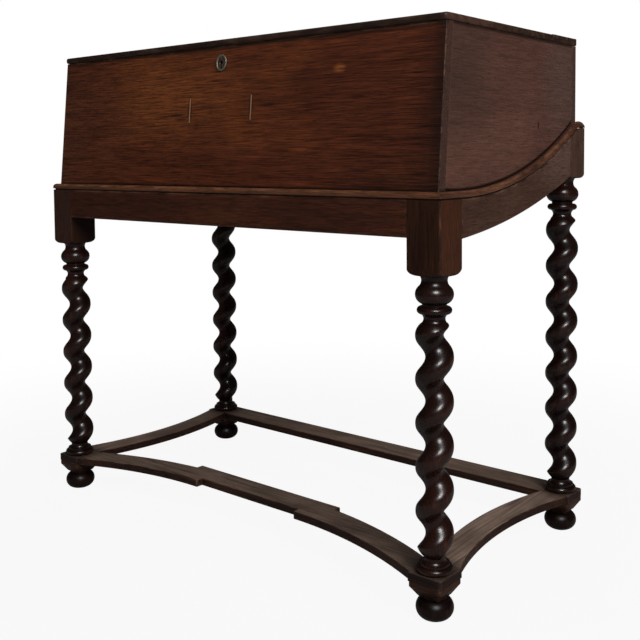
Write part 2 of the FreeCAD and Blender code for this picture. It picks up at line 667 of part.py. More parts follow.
def front_stretcher():
    """The front stretcher: hollow arcs at both ends and a straight middle, stepped back on both edges."""
    body = new_body("stretcher_front")
    ear_y, inner_ear_y = "stretcher_ear - half_depth", "leg_stock - stretcher_ear - half_depth"
    step_y, middle_y = "front_bow - front_step - half_depth", "front_bow - half_depth"
    back_middle_y, back_step_y = "front_bow + stretcher_width - half_depth", \
        "front_bow + stretcher_width - front_step - half_depth"
    run, rise = "(inner_x - front_step_reach)", "(front_bow - front_step - stretcher_ear)"
    hollow = f"({run} ^ 2 + {rise} ^ 2) / (2 * {rise})"
    wider = f"{hollow} + stretcher_width"
    front_half = [("half_width", "-(half_depth)"), ("inner_x", "-(half_depth)"),
                  ("inner_x", ear_y, (hollow, 1)),
                  ("front_step_reach", step_y), ("front_step_reach", middle_y)]
    back_half = [("back_step_reach", back_middle_y), ("back_step_reach", back_step_y, (wider, -1)),
                 ("inner_x", inner_ear_y), ("inner_x", "leg_stock - half_depth"),
                 ("half_width", "leg_stock - half_depth")]
    points = front_half + list(mirrored(front_half)) + list(mirrored(back_half[::-1], back_half)) + back_half
    sketch = outline(body, "board_outline", "XY_Plane", points, height="stretcher_low")
    thicken(body, "board", sketch, "stretcher_thick")
    corner_laps(body, ((-1, -1), (1, -1)), keep_top=True)


def mirrored(half, forward=None):
    """The mirror image, across the YZ plane, of half an outline, run so that it carries straight on."""
    source = half[::-1] if forward is None else forward[::-1]
    for index, point in enumerate(source):
        before = source[index + 1][2:] if index + 1 < len(source) else ()
        yield (f"-({point[0]})", point[1], *before)


def side_stretcher(label, side):
    """A side stretcher, hollow on its outer edge, between two square corners."""
    body = new_body(label)
    hollow = sagitta_radius("2 * inner_y", "side_bow")
    outer, inner = "half_width - stretcher_ear", "inner_x + stretcher_ear"
    points = [
        ("half_width", "-(half_depth)"), ("half_width", "-(inner_y)"), (outer, "-(inner_y)", (hollow, -1)),
        (outer, "inner_y"), ("half_width", "inner_y"), ("half_width", "half_depth"),
        ("inner_x", "half_depth"),
        ("inner_x", "inner_y"), (inner, "inner_y", (f"{hollow} + stretcher_width", 1)), (inner, "-(inner_y)"),
        ("inner_x", "-(inner_y)"), ("inner_x", "-(half_depth)"),
    ]
    if side < 0:
        points = [(f"-({point[0]})", point[1],
                   *((radius, -turn) for radius, turn in point[2:])) for point in points]
    sketch = outline(body, "board_outline", "XY_Plane", points, height="stretcher_low")
    thicken(body, "board", sketch, "stretcher_thick")
    corner_laps(body, ((side, -1), (side, 1)), keep_top=False)


def back_stretcher():
    """The straight back stretcher."""
    body = new_body("stretcher_back")
    block(body, "board", ("-(half_width)", "half_width"), ("inner_y", "half_depth"),
          ("stretcher_low", "stretcher_top"))
    corner_laps(body, ((-1, 1), (1, 1)), keep_top=True)


def foot(label, side, end):
    """A bun foot under a bevelled square cap, bored for the leg's dowel."""
    body = new_body(label, f"{side} * leg_x", f"{end} * leg_y")
    half, cap_low = "foot_cap_width / 2", "stretcher_low - foot_cap_height"
    cap = block(body, "cap", (f"-{half}", half), (f"-{half}", half), (cap_low, "stretcher_low"))
    doc.recompute()
    level, slack = value(cap_low), value("glue_gap")
    dress(body, "Chamfer", "bevel", edges_where(cap, lambda spot: abs(spot.z - level) < slack),
          "foot_cap_bevel")
    bun = sagitta_radius("bun_height", "bun_radius - bun_sole_radius")
    turn_profile(body, "bun", [
        ("0", "0"), ("bun_sole_radius", "0", (bun, 1)), ("bun_sole_radius", "bun_height"),
        ("foot_neck_radius", f"{cap_low} + glue_gap"), ("0", f"{cap_low} + glue_gap"),
    ])
    rod(body, "bore", ("0", "0", "stretcher_top - dowel_length - glue_gap"), "+z", "dowel_radius + glue_gap",
        "dowel_length + overrun", cut=True)


# Box carcase

front_nail_shares = (0.12, 0.38, 0.62, 0.88)
back_nail_shares = (0.2, 0.5, 0.8)
rail_nail_shares = (-0.92, -0.46, 0, 0.46, 0.92)
corner_x = "(box_half - board_thick / 2)"


def front_nail_spots():
    """Start points of the nails driven through the front into the sides' front edges."""
    for side in (-1, 1):
        for share in front_nail_shares:
            z = f"(seat_height + {share} * front_height)"
            yield (f"{side} * {corner_x}", front_face_y(f"{z} + nail_radius"), z), side


def back_nail_spots():
    """Start points of the nails driven through the back into the sides' back edges."""
    for side in (-1, 1):
        for share in back_nail_shares:
            yield (f"{side} * {corner_x}", "back_y", f"rest_z + {share} * (box_top - rest_z)"), side


def rail_nail_spots():
    """Start points of the nails driven down through the fixed hinge rail into the back board."""
    for share in rail_nail_shares:
        yield f"{share} * box_half", "back_y - board_thick / 2", "box_top + hinge_rail_thick"


def front_board():
    """The leaning front, with the lock's housing, the keyhole and two slots for slips."""
    body = new_body("front_board")
    sketch = outline(body, "section", "YZ_Plane", [
        ("front_y", "seat_height"), ("front_y + board_thick", "seat_height"),
        ("front_top_y + board_thick", "box_top"), ("front_top_y", "box_top"),
    ])
    thicken(body, "board", sketch, "2 * box_half", symmetric=True)
    block(body, "lock_housing", ("-lock_width / 2 - glue_gap", "lock_width / 2 + glue_gap"),
          ("lock_y", "lock_y + lock_depth"), ("lock_low - glue_gap", "box_top + overrun"), cut=True)
    rod(body, "keyhole", ("0", "front_y", "key_z"), "+y", "key_radius", "lock_y - (front_y)", cut=True)
    block(body, "keyhole_slot", ("-key_slot_width / 2", "key_slot_width / 2"), ("front_y", "lock_y"),
          ("key_z - key_slot_drop", "key_z"), cut=True)
    for side in (-1, 1):
        name = "left" if side < 0 else "right"
        slot = slip_section(body, f"slip_{name}_line", side, "overrun")
        thicken(body, f"slip_{name}", slot, "slip_width", symmetric=True, cut=True)
    for index, (spot, side) in enumerate(front_nail_spots()):
        rod(body, f"nail_hole_{index}", (spot[0], "front_y - overrun", spot[2]), "+y", "nail_radius",
            "nail_length + overrun", cut=True)
    for index, (start, direction) in enumerate(plate_pin_spots()):
        rod(body, f"pin_hole_{index}", start, direction, "plate_pin_radius", "plate_pin_length", cut=True)
    for index, start in enumerate(lock_screw_spots()):
        rod(body, f"screw_hole_{index}", start, "-y", "lock_screw_radius", "lock_screw_length", cut=True)


def slip_section(body, name, side, proud="0"):
    """The section of a slip let into the leaning face, at its own place along the front."""
    low, high = "(seat_height + slip_low)", "(seat_height + slip_low + slip_length)"
    return outline(body, name, "YZ_Plane", [
        (f"{front_face_y(low)} - {proud}", low), (f"{front_face_y(low)} + slip_depth", low),
        (f"{front_face_y(high)} + slip_depth", high), (f"{front_face_y(high)} - {proud}", high),
    ], height=f"{side} * slip_reach")


def front_slip(label, side):
    """A thin slip of pale wood that fills a slot in the front."""
    body = new_body(label)
    thicken(body, "slip", slip_section(body, "section", side), "slip_width", symmetric=True)


def side_board(label, side):
    """One end of the box: square behind the leaning front, hollow below where it follows the seat."""
    body = new_body(label)
    sketch = outline(body, "section", "YZ_Plane", [
        ("front_y + board_thick", "seat_height"), ("back_inner_y", "seat_height"),
        ("back_inner_y", "box_top"),
        ("front_top_y + board_thick", "box_top"),
    ], height=f"{side} * box_half")
    thicken(body, "board", sketch, "board_thick", reverse=side > 0)
    trim_to_seat(body, "seat", keep_below=False, offset="seat_gap")
    holes = [(spot, "+y") for spot, at in front_nail_spots() if at == side]
    holes += [(spot, "-y") for spot, at in back_nail_spots() if at == side]
    for index, (spot, direction) in enumerate(holes):
        rod(body, f"nail_hole_{index}", spot, direction, "nail_radius", "nail_length", cut=True)


def back_board():
    """The back, standing on the back rail."""
    body = new_body("back_board")
    block(body, "board", ("-(box_half)", "box_half"), ("back_inner_y", "back_y"), ("rest_z", "box_top"))
    for index, (spot, side) in enumerate(back_nail_spots()):
        rod(body, f"nail_hole_{index}", spot, "-y", "nail_radius", "nail_length", cut=True)
    for index, spot in enumerate(rail_nail_spots()):
        rod(body, f"rail_nail_hole_{index}", spot, "-z", "nail_radius", "rail_nail_length", cut=True)


def bottom_staves():
    """The bottom: flat staves that step along the hollow of the seat, between the two ends."""
    count = int(value("stave_count"))
    for index in range(count):
        body = new_body(f"bottom_stave_{index + 1}")
        edges = [f"(stave_front_y + {step} / stave_count * (back_inner_y - (stave_front_y)))"
                 for step in (index, index + 1)]
        lows = [f"{seat_z(edge)} + stave_set" for edge in edges]
        sketch = outline(body, "section", "YZ_Plane", [
            (edges[0], lows[0]), (edges[1], lows[1]), (edges[1], f"{lows[1]} + stave_thick"),
            (edges[0], f"{lows[0]} + stave_thick"),
        ])
        thicken(body, "stave", sketch, "2 * box_inner", symmetric=True)


def nails():
    """The nails of the carcase, in three groups."""
    group("front_nails", [peg(f"front_nail_{index}", spot, "+y", "nail_radius", "nail_length")
                          for index, (spot, side) in enumerate(front_nail_spots())])
    group("back_nails", [peg(f"back_nail_{index}", spot, "-y", "nail_radius", "nail_length")
                         for index, (spot, side) in enumerate(back_nail_spots())])
    group("hinge_rail_nails", [peg(f"rail_nail_{index}", spot, "-z", "nail_radius", "rail_nail_length")
                               for index, spot in enumerate(rail_nail_spots())])


# Lid and hinges

def hinge_sides():
    """The two hinges' names and sides."""
    return (("left", -1), ("right", 1))


def leaf_cut(body, name, side, toward):
    """Lets a hinge leaf and the knuckle into the edge of a board; toward is the board's side of the axis."""
    middle = f"{side} * hinge_reach"
    span = (f"{middle} - hinge_length / 2 - knuckle_gap", f"{middle} + hinge_length / 2 + knuckle_gap")
    depth = flip(toward, "0", "leaf_gap + leaf_thick")
    block(body, f"leaf_seat_{name}", span, tuple(f"hinge_y + {edge}" for edge in depth),
          ("leaf_low - glue_gap", "hinge_z + overrun"), cut=True)
    rod(body, f"knuckle_seat_{name}", (span[0], "hinge_y", "hinge_z"), "+x", "knuckle_radius + knuckle_clear",
        "hinge_length + 2 * knuckle_gap", cut=True)
    for index, start in enumerate(hinge_screw_spots(side, toward)):
        rod(body, f"hinge_screw_hole_{name}_{index}", start, "+y" if toward > 0 else "-y",
            "hinge_screw_radius",
            "hinge_screw_length", cut=True)


def hinge_screw_spots(side, toward):
    """Start points of a leaf's screws, at their heads."""
    for step in (-1, 0, 1):
        yield (f"{side} * hinge_reach + {step} * hinge_screw_spread", f"hinge_y + {toward} * leaf_gap",
               "hinge_z - hinge_screw_drop")


def hinge_rail():
    """The fixed rail at the back of the top, which carries the hinges."""
    body = new_body("hinge_rail")
    block(body, "board", ("-(lid_half)", "lid_half"), ("hinge_y + joint_gap / 2", "back_y"),
          ("box_top", "box_top + hinge_rail_thick"))
    for name, side in hinge_sides():
        leaf_cut(body, name, side, toward=1)
    for index, spot in enumerate(rail_nail_spots()):
        rod(body, f"nail_hole_{index}", spot, "-z", "nail_radius", "rail_nail_length", cut=True)


def lid_boards():
    """The two boards of the lid, glued edge to edge; the front one has a rounded nose."""
    front = new_body("lid_front_board")
    block(front, "board", ("-(lid_half)", "lid_half"), ("lid_front_y", "lid_joint_y"),
          ("lid_low", "lid_high"))
    doc.recompute()
    nose, slack, reach = value("lid_front_y"), value("glue_gap"), value("lid_half")
    edges = edges_where(front.Tip, lambda spot: abs(spot.y - nose) < slack)
    level = [name for name in edges if abs(front.Tip.Shape.getElement(name).Length - 2 * reach) < slack]
    dress(front, "Fillet", "nose", level, "lid_nose")
    block(front, "staple_seat", *staple_plate_spans("glue_gap"), cut=True)
    for index, start in enumerate(staple_screw_spots()):
        rod(front, f"staple_screw_hole_{index}", start, "+z", "staple_screw_radius", "staple_screw_length",
            cut=True)
    main = new_body("lid_main_board")
    block(main, "board", ("-(lid_half)", "lid_half"), ("lid_joint_y", "hinge_y - joint_gap / 2"),
          ("lid_low", "lid_high"))
    for name, side in hinge_sides():
        leaf_cut(main, name, side, toward=-1)


def hinge_leaf(label, side, toward, first, bore):
    """One leaf of a butt hinge, with every second knuckle from the first."""
    body = new_body(label)
    start = f"({side} * hinge_reach - hinge_length / 2)"
    faces = tuple(f"hinge_y + {edge}" for edge in flip(toward, "leaf_gap", "leaf_gap + leaf_thick"))
    block(body, "plate", (start, f"{start} + hinge_length"), faces, ("leaf_low", "leaf_high"))
    count = int(value("knuckle_count"))
    for index in range(first, count, 2):
        low, high = (f"{start} + {step} * knuckle_length" for step in (index, index + 1))
        low = f"{low} + knuckle_gap / 2" if index > 0 else low
        high = f"{high} - knuckle_gap / 2" if index < count - 1 else high
        block(body, f"web_{index}", (low, high), faces, ("leaf_high - leaf_thick", "hinge_z"))
        rod(body, f"knuckle_{index}", (low, "hinge_y", "hinge_z"), "+x", "knuckle_radius",
            f"({high}) - ({low})")
    rod(body, "bore", (f"{start} - overrun", "hinge_y", "hinge_z"), "+x", bore,
        "hinge_length + 2 * overrun", cut=True)
    direction = "+y" if toward > 0 else "-y"
    for index, spot in enumerate(hinge_screw_spots(side, toward)):
        sink(body, f"sink_{index}", spot, direction, "hinge_screw_head_radius", "hinge_screw_radius",
             "hinge_screw_head_height")
        rod(body, f"hole_{index}", spot, direction, "hinge_screw_radius", "leaf_thick + overrun", cut=True)


def hinges():
    """Two butt hinges: fixed leaf and pin on the box, swinging leaf on the lid, and their screws."""
    for name, side in hinge_sides():
        hinge_leaf(f"hinge_{name}_box_leaf", side, 1, 0, "pin_radius")
        hinge_leaf(f"hinge_{name}_lid_leaf", side, -1, 1, "pin_radius + pin_clear")
        pin = new_body(f"hinge_{name}_pin")
        rod(pin, "pin", (f"{side} * hinge_reach - hinge_length / 2", "hinge_y", "hinge_z"), "+x",
            "pin_radius",
            "hinge_length")
    for label, toward, direction in (("hinge_box_screws", 1, "+y"), ("hinge_lid_screws", -1, "-y")):
        spots = [spot for name, side in hinge_sides() for spot in hinge_screw_spots(side, toward)]
        group(label,
              [screw(f"{label}_{index}", spot, direction, "hinge_screw") for index, spot in enumerate(spots)])


# Lock, staple and key plate

def bolt_span(reach="0"):
    """The bolt's own length, run on by a reach at the thrown end."""
    return "bolt_end - bolt_length", f"bolt_end + {reach}"


def lock_screw_spots():
    """Start points of the lock's screws, at their heads on the inner face of the case."""
    for side in (-1, 1):
        for z in ("lock_low + lock_screw_margin", "lock_high - lock_screw_margin"):
            yield f"{side} * (lock_width / 2 - lock_screw_margin)", "lock_y + lock_depth", z


def lock_case():
    """The lock's case, with the channel that guides the bolt, the key's room and the slot for the staple."""
    body = new_body("lock_case")
    block(body, "case", ("-lock_width / 2", "lock_width / 2"), ("lock_y", "lock_y + lock_depth"),
          ("lock_low", "lock_high"))
    low, high = bolt_span("bolt_travel + staple_eye_clear")
    channel = ("bolt_y - bolt_clear", "bolt_y + bolt_thick + bolt_clear")
    block(body, "bolt_channel", (f"{low} - staple_eye_clear", high), channel,
          ("bolt_low - bolt_clear", "bolt_low + bolt_height + bolt_clear"), cut=True)
    block(body, "tail_room",
          ("-bolt_tail_width / 2 - staple_eye_clear", "bolt_tail_width / 2 + bolt_travel + staple_eye_clear"),
          channel, ("bolt_low - bolt_tail_drop - staple_eye_clear", "bolt_low"), cut=True)
    rod(body, "key_room", ("0", "lock_y", "key_z"), "+y", "key_room_radius", "key_room_depth", cut=True)
    block(body, "staple_slot", ("staple_reach - staple_thick / 2 - staple_side_clear",
                                "staple_reach + staple_thick / 2 + staple_side_clear"),
          ("staple_y - staple_swing_clear", "staple_y + staple_width + staple_back_clear"),
          ("staple_low - staple_back_clear", "lock_high"), cut=True)
    for index, spot in enumerate(lock_screw_spots()):
        sink(body, f"sink_{index}", spot, "-y", "lock_screw_head_radius", "lock_screw_radius",
             "lock_screw_head_height")
        rod(body, f"hole_{index}", spot, "-y", "lock_screw_radius", "lock_depth", cut=True)


def lock_bolt():
    """The sliding bolt, drawn back, with the tail that the key pushes."""
    body = new_body("lock_bolt")
    faces = ("bolt_y", "bolt_y + bolt_thick")
    block(body, "bar", bolt_span(), faces, ("bolt_low", "bolt_low + bolt_height"))
    block(body, "tail", ("-bolt_tail_width / 2", "bolt_tail_width / 2"), faces,
          ("bolt_low - bolt_tail_drop", "bolt_low"))
    block(body, "talon", ("-bolt_tail_width / 4", "bolt_tail_width / 4"), faces,
          ("bolt_low - bolt_tail_drop", "bolt_low - bolt_tail_drop / 3"), cut=True)


def staple_plate_spans(slack="0"):
    """The staple's plate, let into the underside of the lid."""
    return ((f"staple_reach - staple_plate_width / 2 - {slack}",
             f"staple_reach + staple_plate_width / 2 + {slack}"),
            (f"lock_y - {slack}", f"lock_y + staple_plate_depth + {slack}"),
            ("lid_low", "lid_low + staple_plate_thick"))


def staple_screw_spots():
    """Start points of the staple's two screws, at their heads."""
    for step in (-1, 1):
        yield f"staple_reach + {step} * staple_screw_spread", "lock_y + staple_plate_depth / 2", "lid_low"


def lock_staple():
    """The staple under the lid: a plate and a tongue whose eye takes the bolt."""
    body = new_body("lock_staple")
    block(body, "plate", *staple_plate_spans())
    edges = ("staple_reach - staple_thick / 2", "staple_reach + staple_thick / 2")
    block(body, "tongue", edges, ("staple_y", "staple_y + staple_width"), ("staple_low", "lid_low"))
    block(body, "eye", edges, ("bolt_y - staple_eye_clear", "bolt_y + bolt_thick + staple_eye_clear"),
          ("bolt_low - staple_eye_clear", "bolt_low + bolt_height + staple_eye_clear"), cut=True)
    for index, spot in enumerate(staple_screw_spots()):
        sink(body, f"sink_{index}", spot, "+z", "staple_screw_head_radius", "staple_screw_radius",
             "staple_screw_head_height")
        rod(body, f"hole_{index}", spot, "+z", "staple_screw_radius", "staple_plate_thick + overrun",
            cut=True)


def plate_pin_spots():
    """Start points of the key plate's two pins, on the leaning face."""
    for step in (-1, 1):
        z = f"(key_z + {step} * (plate_half_height - plate_pin_margin))"
        yield ("0", f"{front_face_y(z)} - plate_thick", z), "+y"


def oval_sketch(body, name, wide, tall, height="0"):
    """An upright oval about the body's own origin."""
    sketch = flat_sketch(body, name, "XZ_Plane", height)
    half_wide, half_tall = value(wide), value(tall)
    curve = sketch.addGeometry(Part.Ellipse(V(0, half_tall, 0), V(half_wide, 0, 0), V()))
    sketch.exposeInternalGeometry(curve)
    long_axis, short_axis = curve + 1, curve + 2
    sketch.addConstraint(Sketcher.Constraint("Coincident", curve, 3, -1, 1))
    sketch.addConstraint(Sketcher.Constraint("Vertical", long_axis))
    for axis, text in ((long_axis, f"2 * ({tall})"), (short_axis, f"2 * ({wide})")):
        spot = sketch.addConstraint(Sketcher.Constraint("Distance", axis, value(text)))
        sketch.setExpression(f"Constraints[{spot}]", bound(text))
    return sketch


def key_plate():
    """The oval key plate: a thin plate with a raised rim, leaning with the front."""
    body = new_body("key_plate", "0", front_face_y("key_z"), "key_z")
    body.Placement = FreeCAD.Placement(body.Placement.Base, FreeCAD.Rotation(V(1, 0, 0), -1))
    body.setExpression("Placement.Rotation.Angle", bound("-atan(front_lean / front_height)"))
    plate = oval_sketch(body, "plate_outline", "plate_half_width", "plate_half_height")
    thicken(body, "plate", plate, "plate_thick + plate_rim_height")
    hollow = oval_sketch(body, "field_outline", "plate_half_width - plate_rim_width",
                         "plate_half_height - plate_rim_width", height="plate_thick + plate_rim_height")
    thicken(body, "field", hollow, "plate_rim_height", cut=True)
    rod(body, "keyhole", ("0", "-overrun", "0"), "+y", "plate_key_radius", "2 * overrun", cut=True)
    block(body, "keyhole_slot", ("-plate_key_slot / 2", "plate_key_slot / 2"), ("-overrun", "overrun"),
          ("-key_slot_drop", "0"), cut=True)
    for step in (-1, 1):
        name = "low" if step < 0 else "high"
        rod(body, f"pin_hole_{name}", ("0", "-overrun", f"{step} * (plate_half_height - plate_pin_margin)"),
            "+y",
            "plate_pin_radius + 2 * glue_gap", "2 * overrun", cut=True)


def small_fasteners():
    """Screws of the lock and staple, and pins of the key plate."""
    group("lock_screws", [screw(f"lock_screw_{index}", spot, "-y", "lock_screw")
                          for index, spot in enumerate(lock_screw_spots())])
    group("staple_screws", [screw(f"staple_screw_{index}", spot, "+z", "staple_screw")
                            for index, spot in enumerate(staple_screw_spots())])
    group("key_plate_pins",
          [peg(f"plate_pin_{index}", start, direction, "plate_pin_radius", "plate_pin_length")
                             for index, (start, direction) in enumerate(plate_pin_spots())])


def build():
    """Every piece of the box and its stand."""
    for side, side_name in ((-1, "left"), (1, "right")):
        for end, end_name in ((-1, "front"), (1, "back")):
            leg(f"leg_{end_name}_{side_name}", side, end)
            foot(f"foot_{end_name}_{side_name}", side, end)
        side_rail(f"rail_{side_name}", side)
        side_moulding(f"moulding_{side_name}", side)
        side_stretcher(f"stretcher_{side_name}", side)
        side_board(f"side_board_{side_name}", side)
        front_slip(f"front_slip_{side_name}", side)
    long_rail("rail_front", -1)
    long_rail("rail_back", 1)
    front_moulding()
    front_stretcher()
    back_stretcher()
    front_board()
    back_board()
    bottom_staves()
    nails()
    hinge_rail()
    lid_boards()
    hinges()
    lock_case()
    lock_bolt()
    lock_staple()
    key_plate()
    small_fasteners()
    doc.recompute()


def check():
    """Stops if any object failed or any piece is not a sound solid."""
    failed = [item.Name for item in doc.Objects if {"Invalid", "Error"} & set(item.State)]
    unsound = [piece.Label for piece in PIECES
               if piece.Shape.isNull() or not piece.Shape.isValid() or not piece.Shape.Solids]
    if failed or unsound:
        raise RuntimeError(f"failed: {failed}; unsound: {unsound}")


def write():
    """One STEP file for each piece, named by its label."""
    os.makedirs("parts", exist_ok=True)
    for piece in PIECES:
        piece.Shape.exportStep(f"parts/{piece.Label}.step")
        print(piece.Label, len(piece.Shape.Solids), "solids", round(piece.Shape.Volume / 1000, 2), "cm3")


build()
check()
write()
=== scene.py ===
import logging
import math
from dataclasses import dataclass, replace
from enum import Enum
from typing import Any, Callable, ClassVar, Optional, Sequence

import bpy
import numpy as np
from mathutils import Matrix, Vector
from mathutils.geometry import tessellate_polygon


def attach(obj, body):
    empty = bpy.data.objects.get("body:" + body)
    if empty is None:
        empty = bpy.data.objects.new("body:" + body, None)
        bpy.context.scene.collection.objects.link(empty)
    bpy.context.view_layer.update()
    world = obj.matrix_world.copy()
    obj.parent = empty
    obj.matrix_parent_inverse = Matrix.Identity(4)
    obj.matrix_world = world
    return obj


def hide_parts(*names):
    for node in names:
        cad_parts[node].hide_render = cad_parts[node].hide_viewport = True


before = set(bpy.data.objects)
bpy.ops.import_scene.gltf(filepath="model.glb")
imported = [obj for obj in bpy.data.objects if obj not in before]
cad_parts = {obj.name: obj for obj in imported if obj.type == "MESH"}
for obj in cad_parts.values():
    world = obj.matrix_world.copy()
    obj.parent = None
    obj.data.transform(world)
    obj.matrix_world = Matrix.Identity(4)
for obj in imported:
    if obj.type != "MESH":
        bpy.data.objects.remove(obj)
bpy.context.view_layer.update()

LOG = logging.getLogger("box_on_stand")
MM = 0.001
# Edges that turn by more than this stay sharp in the shading.
SHARP_DEGREES = 38
# A point this close to a board's inner face belongs to it.
FACE_NEAR = 0.05
# Rails and blocks end this far below the seat's line, clear of the moulding's underside.
SEAT_GAP = 0.2

Array = np.ndarray
Inside = Callable[[Array], Array]


# Arrays and surfaces


class Plane(Enum):
    """The plane of an outline, as the axes of its two coordinates and of the way it is carried."""

    YZ = (1, 2, 0)
    XY = (0, 1, 2)
    XZ = (0, 2, 1)


@dataclass
class Outline:
    """A closed anticlockwise line: points, outward normals and how worn each point is.

    For moving inwards it also holds how far a point goes along its normal, its way from there on, and the
    farthest that it may go.
    """

    points: Array
    normals: Array
    wear: Array
    turns_at: Array
    mitres: Array
    room: Array
    rubbed: Any = 1.0

    @classmethod
    def plain(cls, points: Array) -> "Outline":
        """An outline that is carried as it is, without rounding."""
        flat, nought = np.zeros((len(points), 2)), np.zeros(len(points))
        return cls(np.asarray(points, float), flat, nought, nought + np.inf, flat, nought)

    def inset(self, depth: Array) -> Array:
        """Moves the points inwards, round corners first along their normals and then along the mitre.

        Args:
            depth: depths by ring and point.

        Returns:
            Points by ring and point.
        """
        reach = np.minimum(depth, self.room)
        along, past = np.minimum(reach, self.turns_at), np.maximum(reach - self.turns_at, 0)
        return self.points - self.normals * along[:, :, None] - self.mitres * past[:, :, None]


@dataclass
class Skin:
    """A closed surface: points in millimetres, faces as index rows and the wear at each point, -1 for grooves darkened
    with dirt and painted shade.
    """

    points: Array
    faces: list[list[int]]
    wear: Array

    def outward(self) -> "Skin":
        """Turns the faces round where the signed volume of their triangle fans is negative.

        Returns:
            The skin itself, facing outwards.
        """
        volume = 0.0
        for face in self.faces:
            corners = self.points[face]
            volume += np.einsum("ij,ij->", np.cross(corners[1:-1], corners[2:]), np.broadcast_to(
                corners[0], corners[1:-1].shape))
        if volume < 0:
            self.faces = [face[::-1] for face in self.faces]
        return self


def bow(chord: float, rise: float) -> float:
    """The radius of an arc: (half chord squared plus rise squared) over twice the rise."""
    return (chord ** 2 / 4 + rise ** 2) / (2 * rise)


def arc(start: Sequence[float], end: Sequence[float], radius: float, turn: int, count: int = 24) -> Array:
    """The short arc between two points.

    The centre is the middle of the chord, moved along the chord's left normal by the root of the radius
    squared less the half chord squared. The points turn about it at even angles.

    Args:
        start: first point.
        end: last point.
        radius: radius of the arc.
        turn: 1 for anticlockwise, -1 for clockwise.
        count: number of points.

    Returns:
        The points, one row each.
    """
    first, last = np.asarray(start, float), np.asarray(end, float)
    chord = last - first
    half = float(np.linalg.norm(chord)) / 2
    left = np.array([-chord[1], chord[0]]) / (2 * half)
    centre = (first + last) / 2 + left * turn * math.sqrt(radius ** 2 - half ** 2)
    spoke = first - centre
    angle = math.atan2(spoke[1], spoke[0]) + np.linspace(0, turn * 2 * math.asin(half / radius), count)
    return centre + radius * np.stack([np.cos(angle), np.sin(angle)], axis=1)


def outline(corners: Any, radii: Any, fade: float = 4.0, steps: int = 4) -> Outline:
    """Rounds the corners of a closed anticlockwise line.

    Each corner's arc starts one tangent length (radius times the tangent of half the turn) before it. The
    arc's points are its centre less the left normal times the radius, at headings evenly between the two
    edges. Two more points beside the arc end the wear. A corner of no radius stays one point.

    Args:
        corners: corner points, one row each.
        radii: a radius for each corner, zero where the line only bends.
        fade: how far the wear runs from a corner.
        steps: pieces in each arc.

    Returns:
        The rounded outline.
    """
    spots = np.asarray(corners, float)
    radius = np.broadcast_to(np.asarray(radii, float), len(spots))
    into = spots - np.roll(spots, 1, axis=0)
    length = np.linalg.norm(into, axis=1)
    into = into / length[:, None]
    out = np.roll(into, -1, axis=0)
    turn = np.arctan2(into[:, 0] * out[:, 1] - into[:, 1] * out[:, 0], np.sum(into * out, axis=1))
    sign = np.where(turn < 0, -1.0, 1.0)
    tangent = radius * np.abs(np.tan(turn / 2))
    start = spots - into * tangent[:, None]
    centre = start + np.stack([-into[:, 1], into[:, 0]], axis=1) * (sign * radius)[:, None]
    share = np.where(radius[:, None] > 0, np.linspace(0, 1, steps + 1), 0.5)
    heading = np.arctan2(into[:, 1], into[:, 0])[:, None] + turn[:, None] * share
    left = np.stack([-np.sin(heading), np.cos(heading)], axis=2)
    arcs = centre[:, None] - left * (sign * radius)[:, None, None]
    shorter = np.minimum(length, np.roll(length, -1))
    # The wear ends within the shorter of the two edges beside the corner.
    lead = np.minimum(np.minimum(1.4 * fade, 0.3 * shorter), np.maximum(0.45 * shorter - tangent, 0.02))
    before = start - into * lead[:, None]
    after = spots + out * (tangent + lead)[:, None]
    blocks = np.concatenate([before[:, None], arcs, after[:, None]], axis=1)
    normals = -np.concatenate([left[:, :1], left, left[:, -1:]], axis=1)
    wear = np.ones(blocks.shape[:2])
    wear[:, 0] = wear[:, -1] = 0
    keep = np.ones(blocks.shape[:2], bool)
    keep[radius == 0] = False
    keep[radius == 0, 1] = True
    wear[radius == 0] = 0
    round_out = (radius > 0) & (turn > 0)
    turns_at = np.full(blocks.shape[:2], np.inf)
    turns_at[round_out, 1:-1] = 0.6 * radius[round_out, None]
    mitre = (left[:, 0] + left[:, -1]) / (1 + np.sum(left[:, 0] * left[:, -1], axis=1))[:, None]
    mitres = np.zeros(blocks.shape)
    mitres[round_out, 1:-1] = -mitre[round_out, None]
    room = np.where(round_out, 0.9 * (tangent + lead) / np.maximum(np.abs(np.tan(turn / 2)), 1e-6), np.inf)
    room = np.repeat(room[:, None], blocks.shape[1], axis=1)
    return Outline(blocks[keep], normals[keep], wear[keep], turns_at[keep], mitres[keep], room[keep])


def quads(rows: int, columns: int) -> list[list[int]]:
    """Faces between neighbouring rings of a grid whose columns close on themselves.

    Args:
        rows: number of rings.
        columns: points in each ring.

    Returns:
        Four point numbers for each face.
    """
    index = np.arange(rows * columns).reshape(rows, columns)
    after = np.roll(index, -1, axis=1)
    return np.stack([index[:-1], after[:-1], after[1:], index[1:]], axis=2).reshape(-1, 4).tolist()


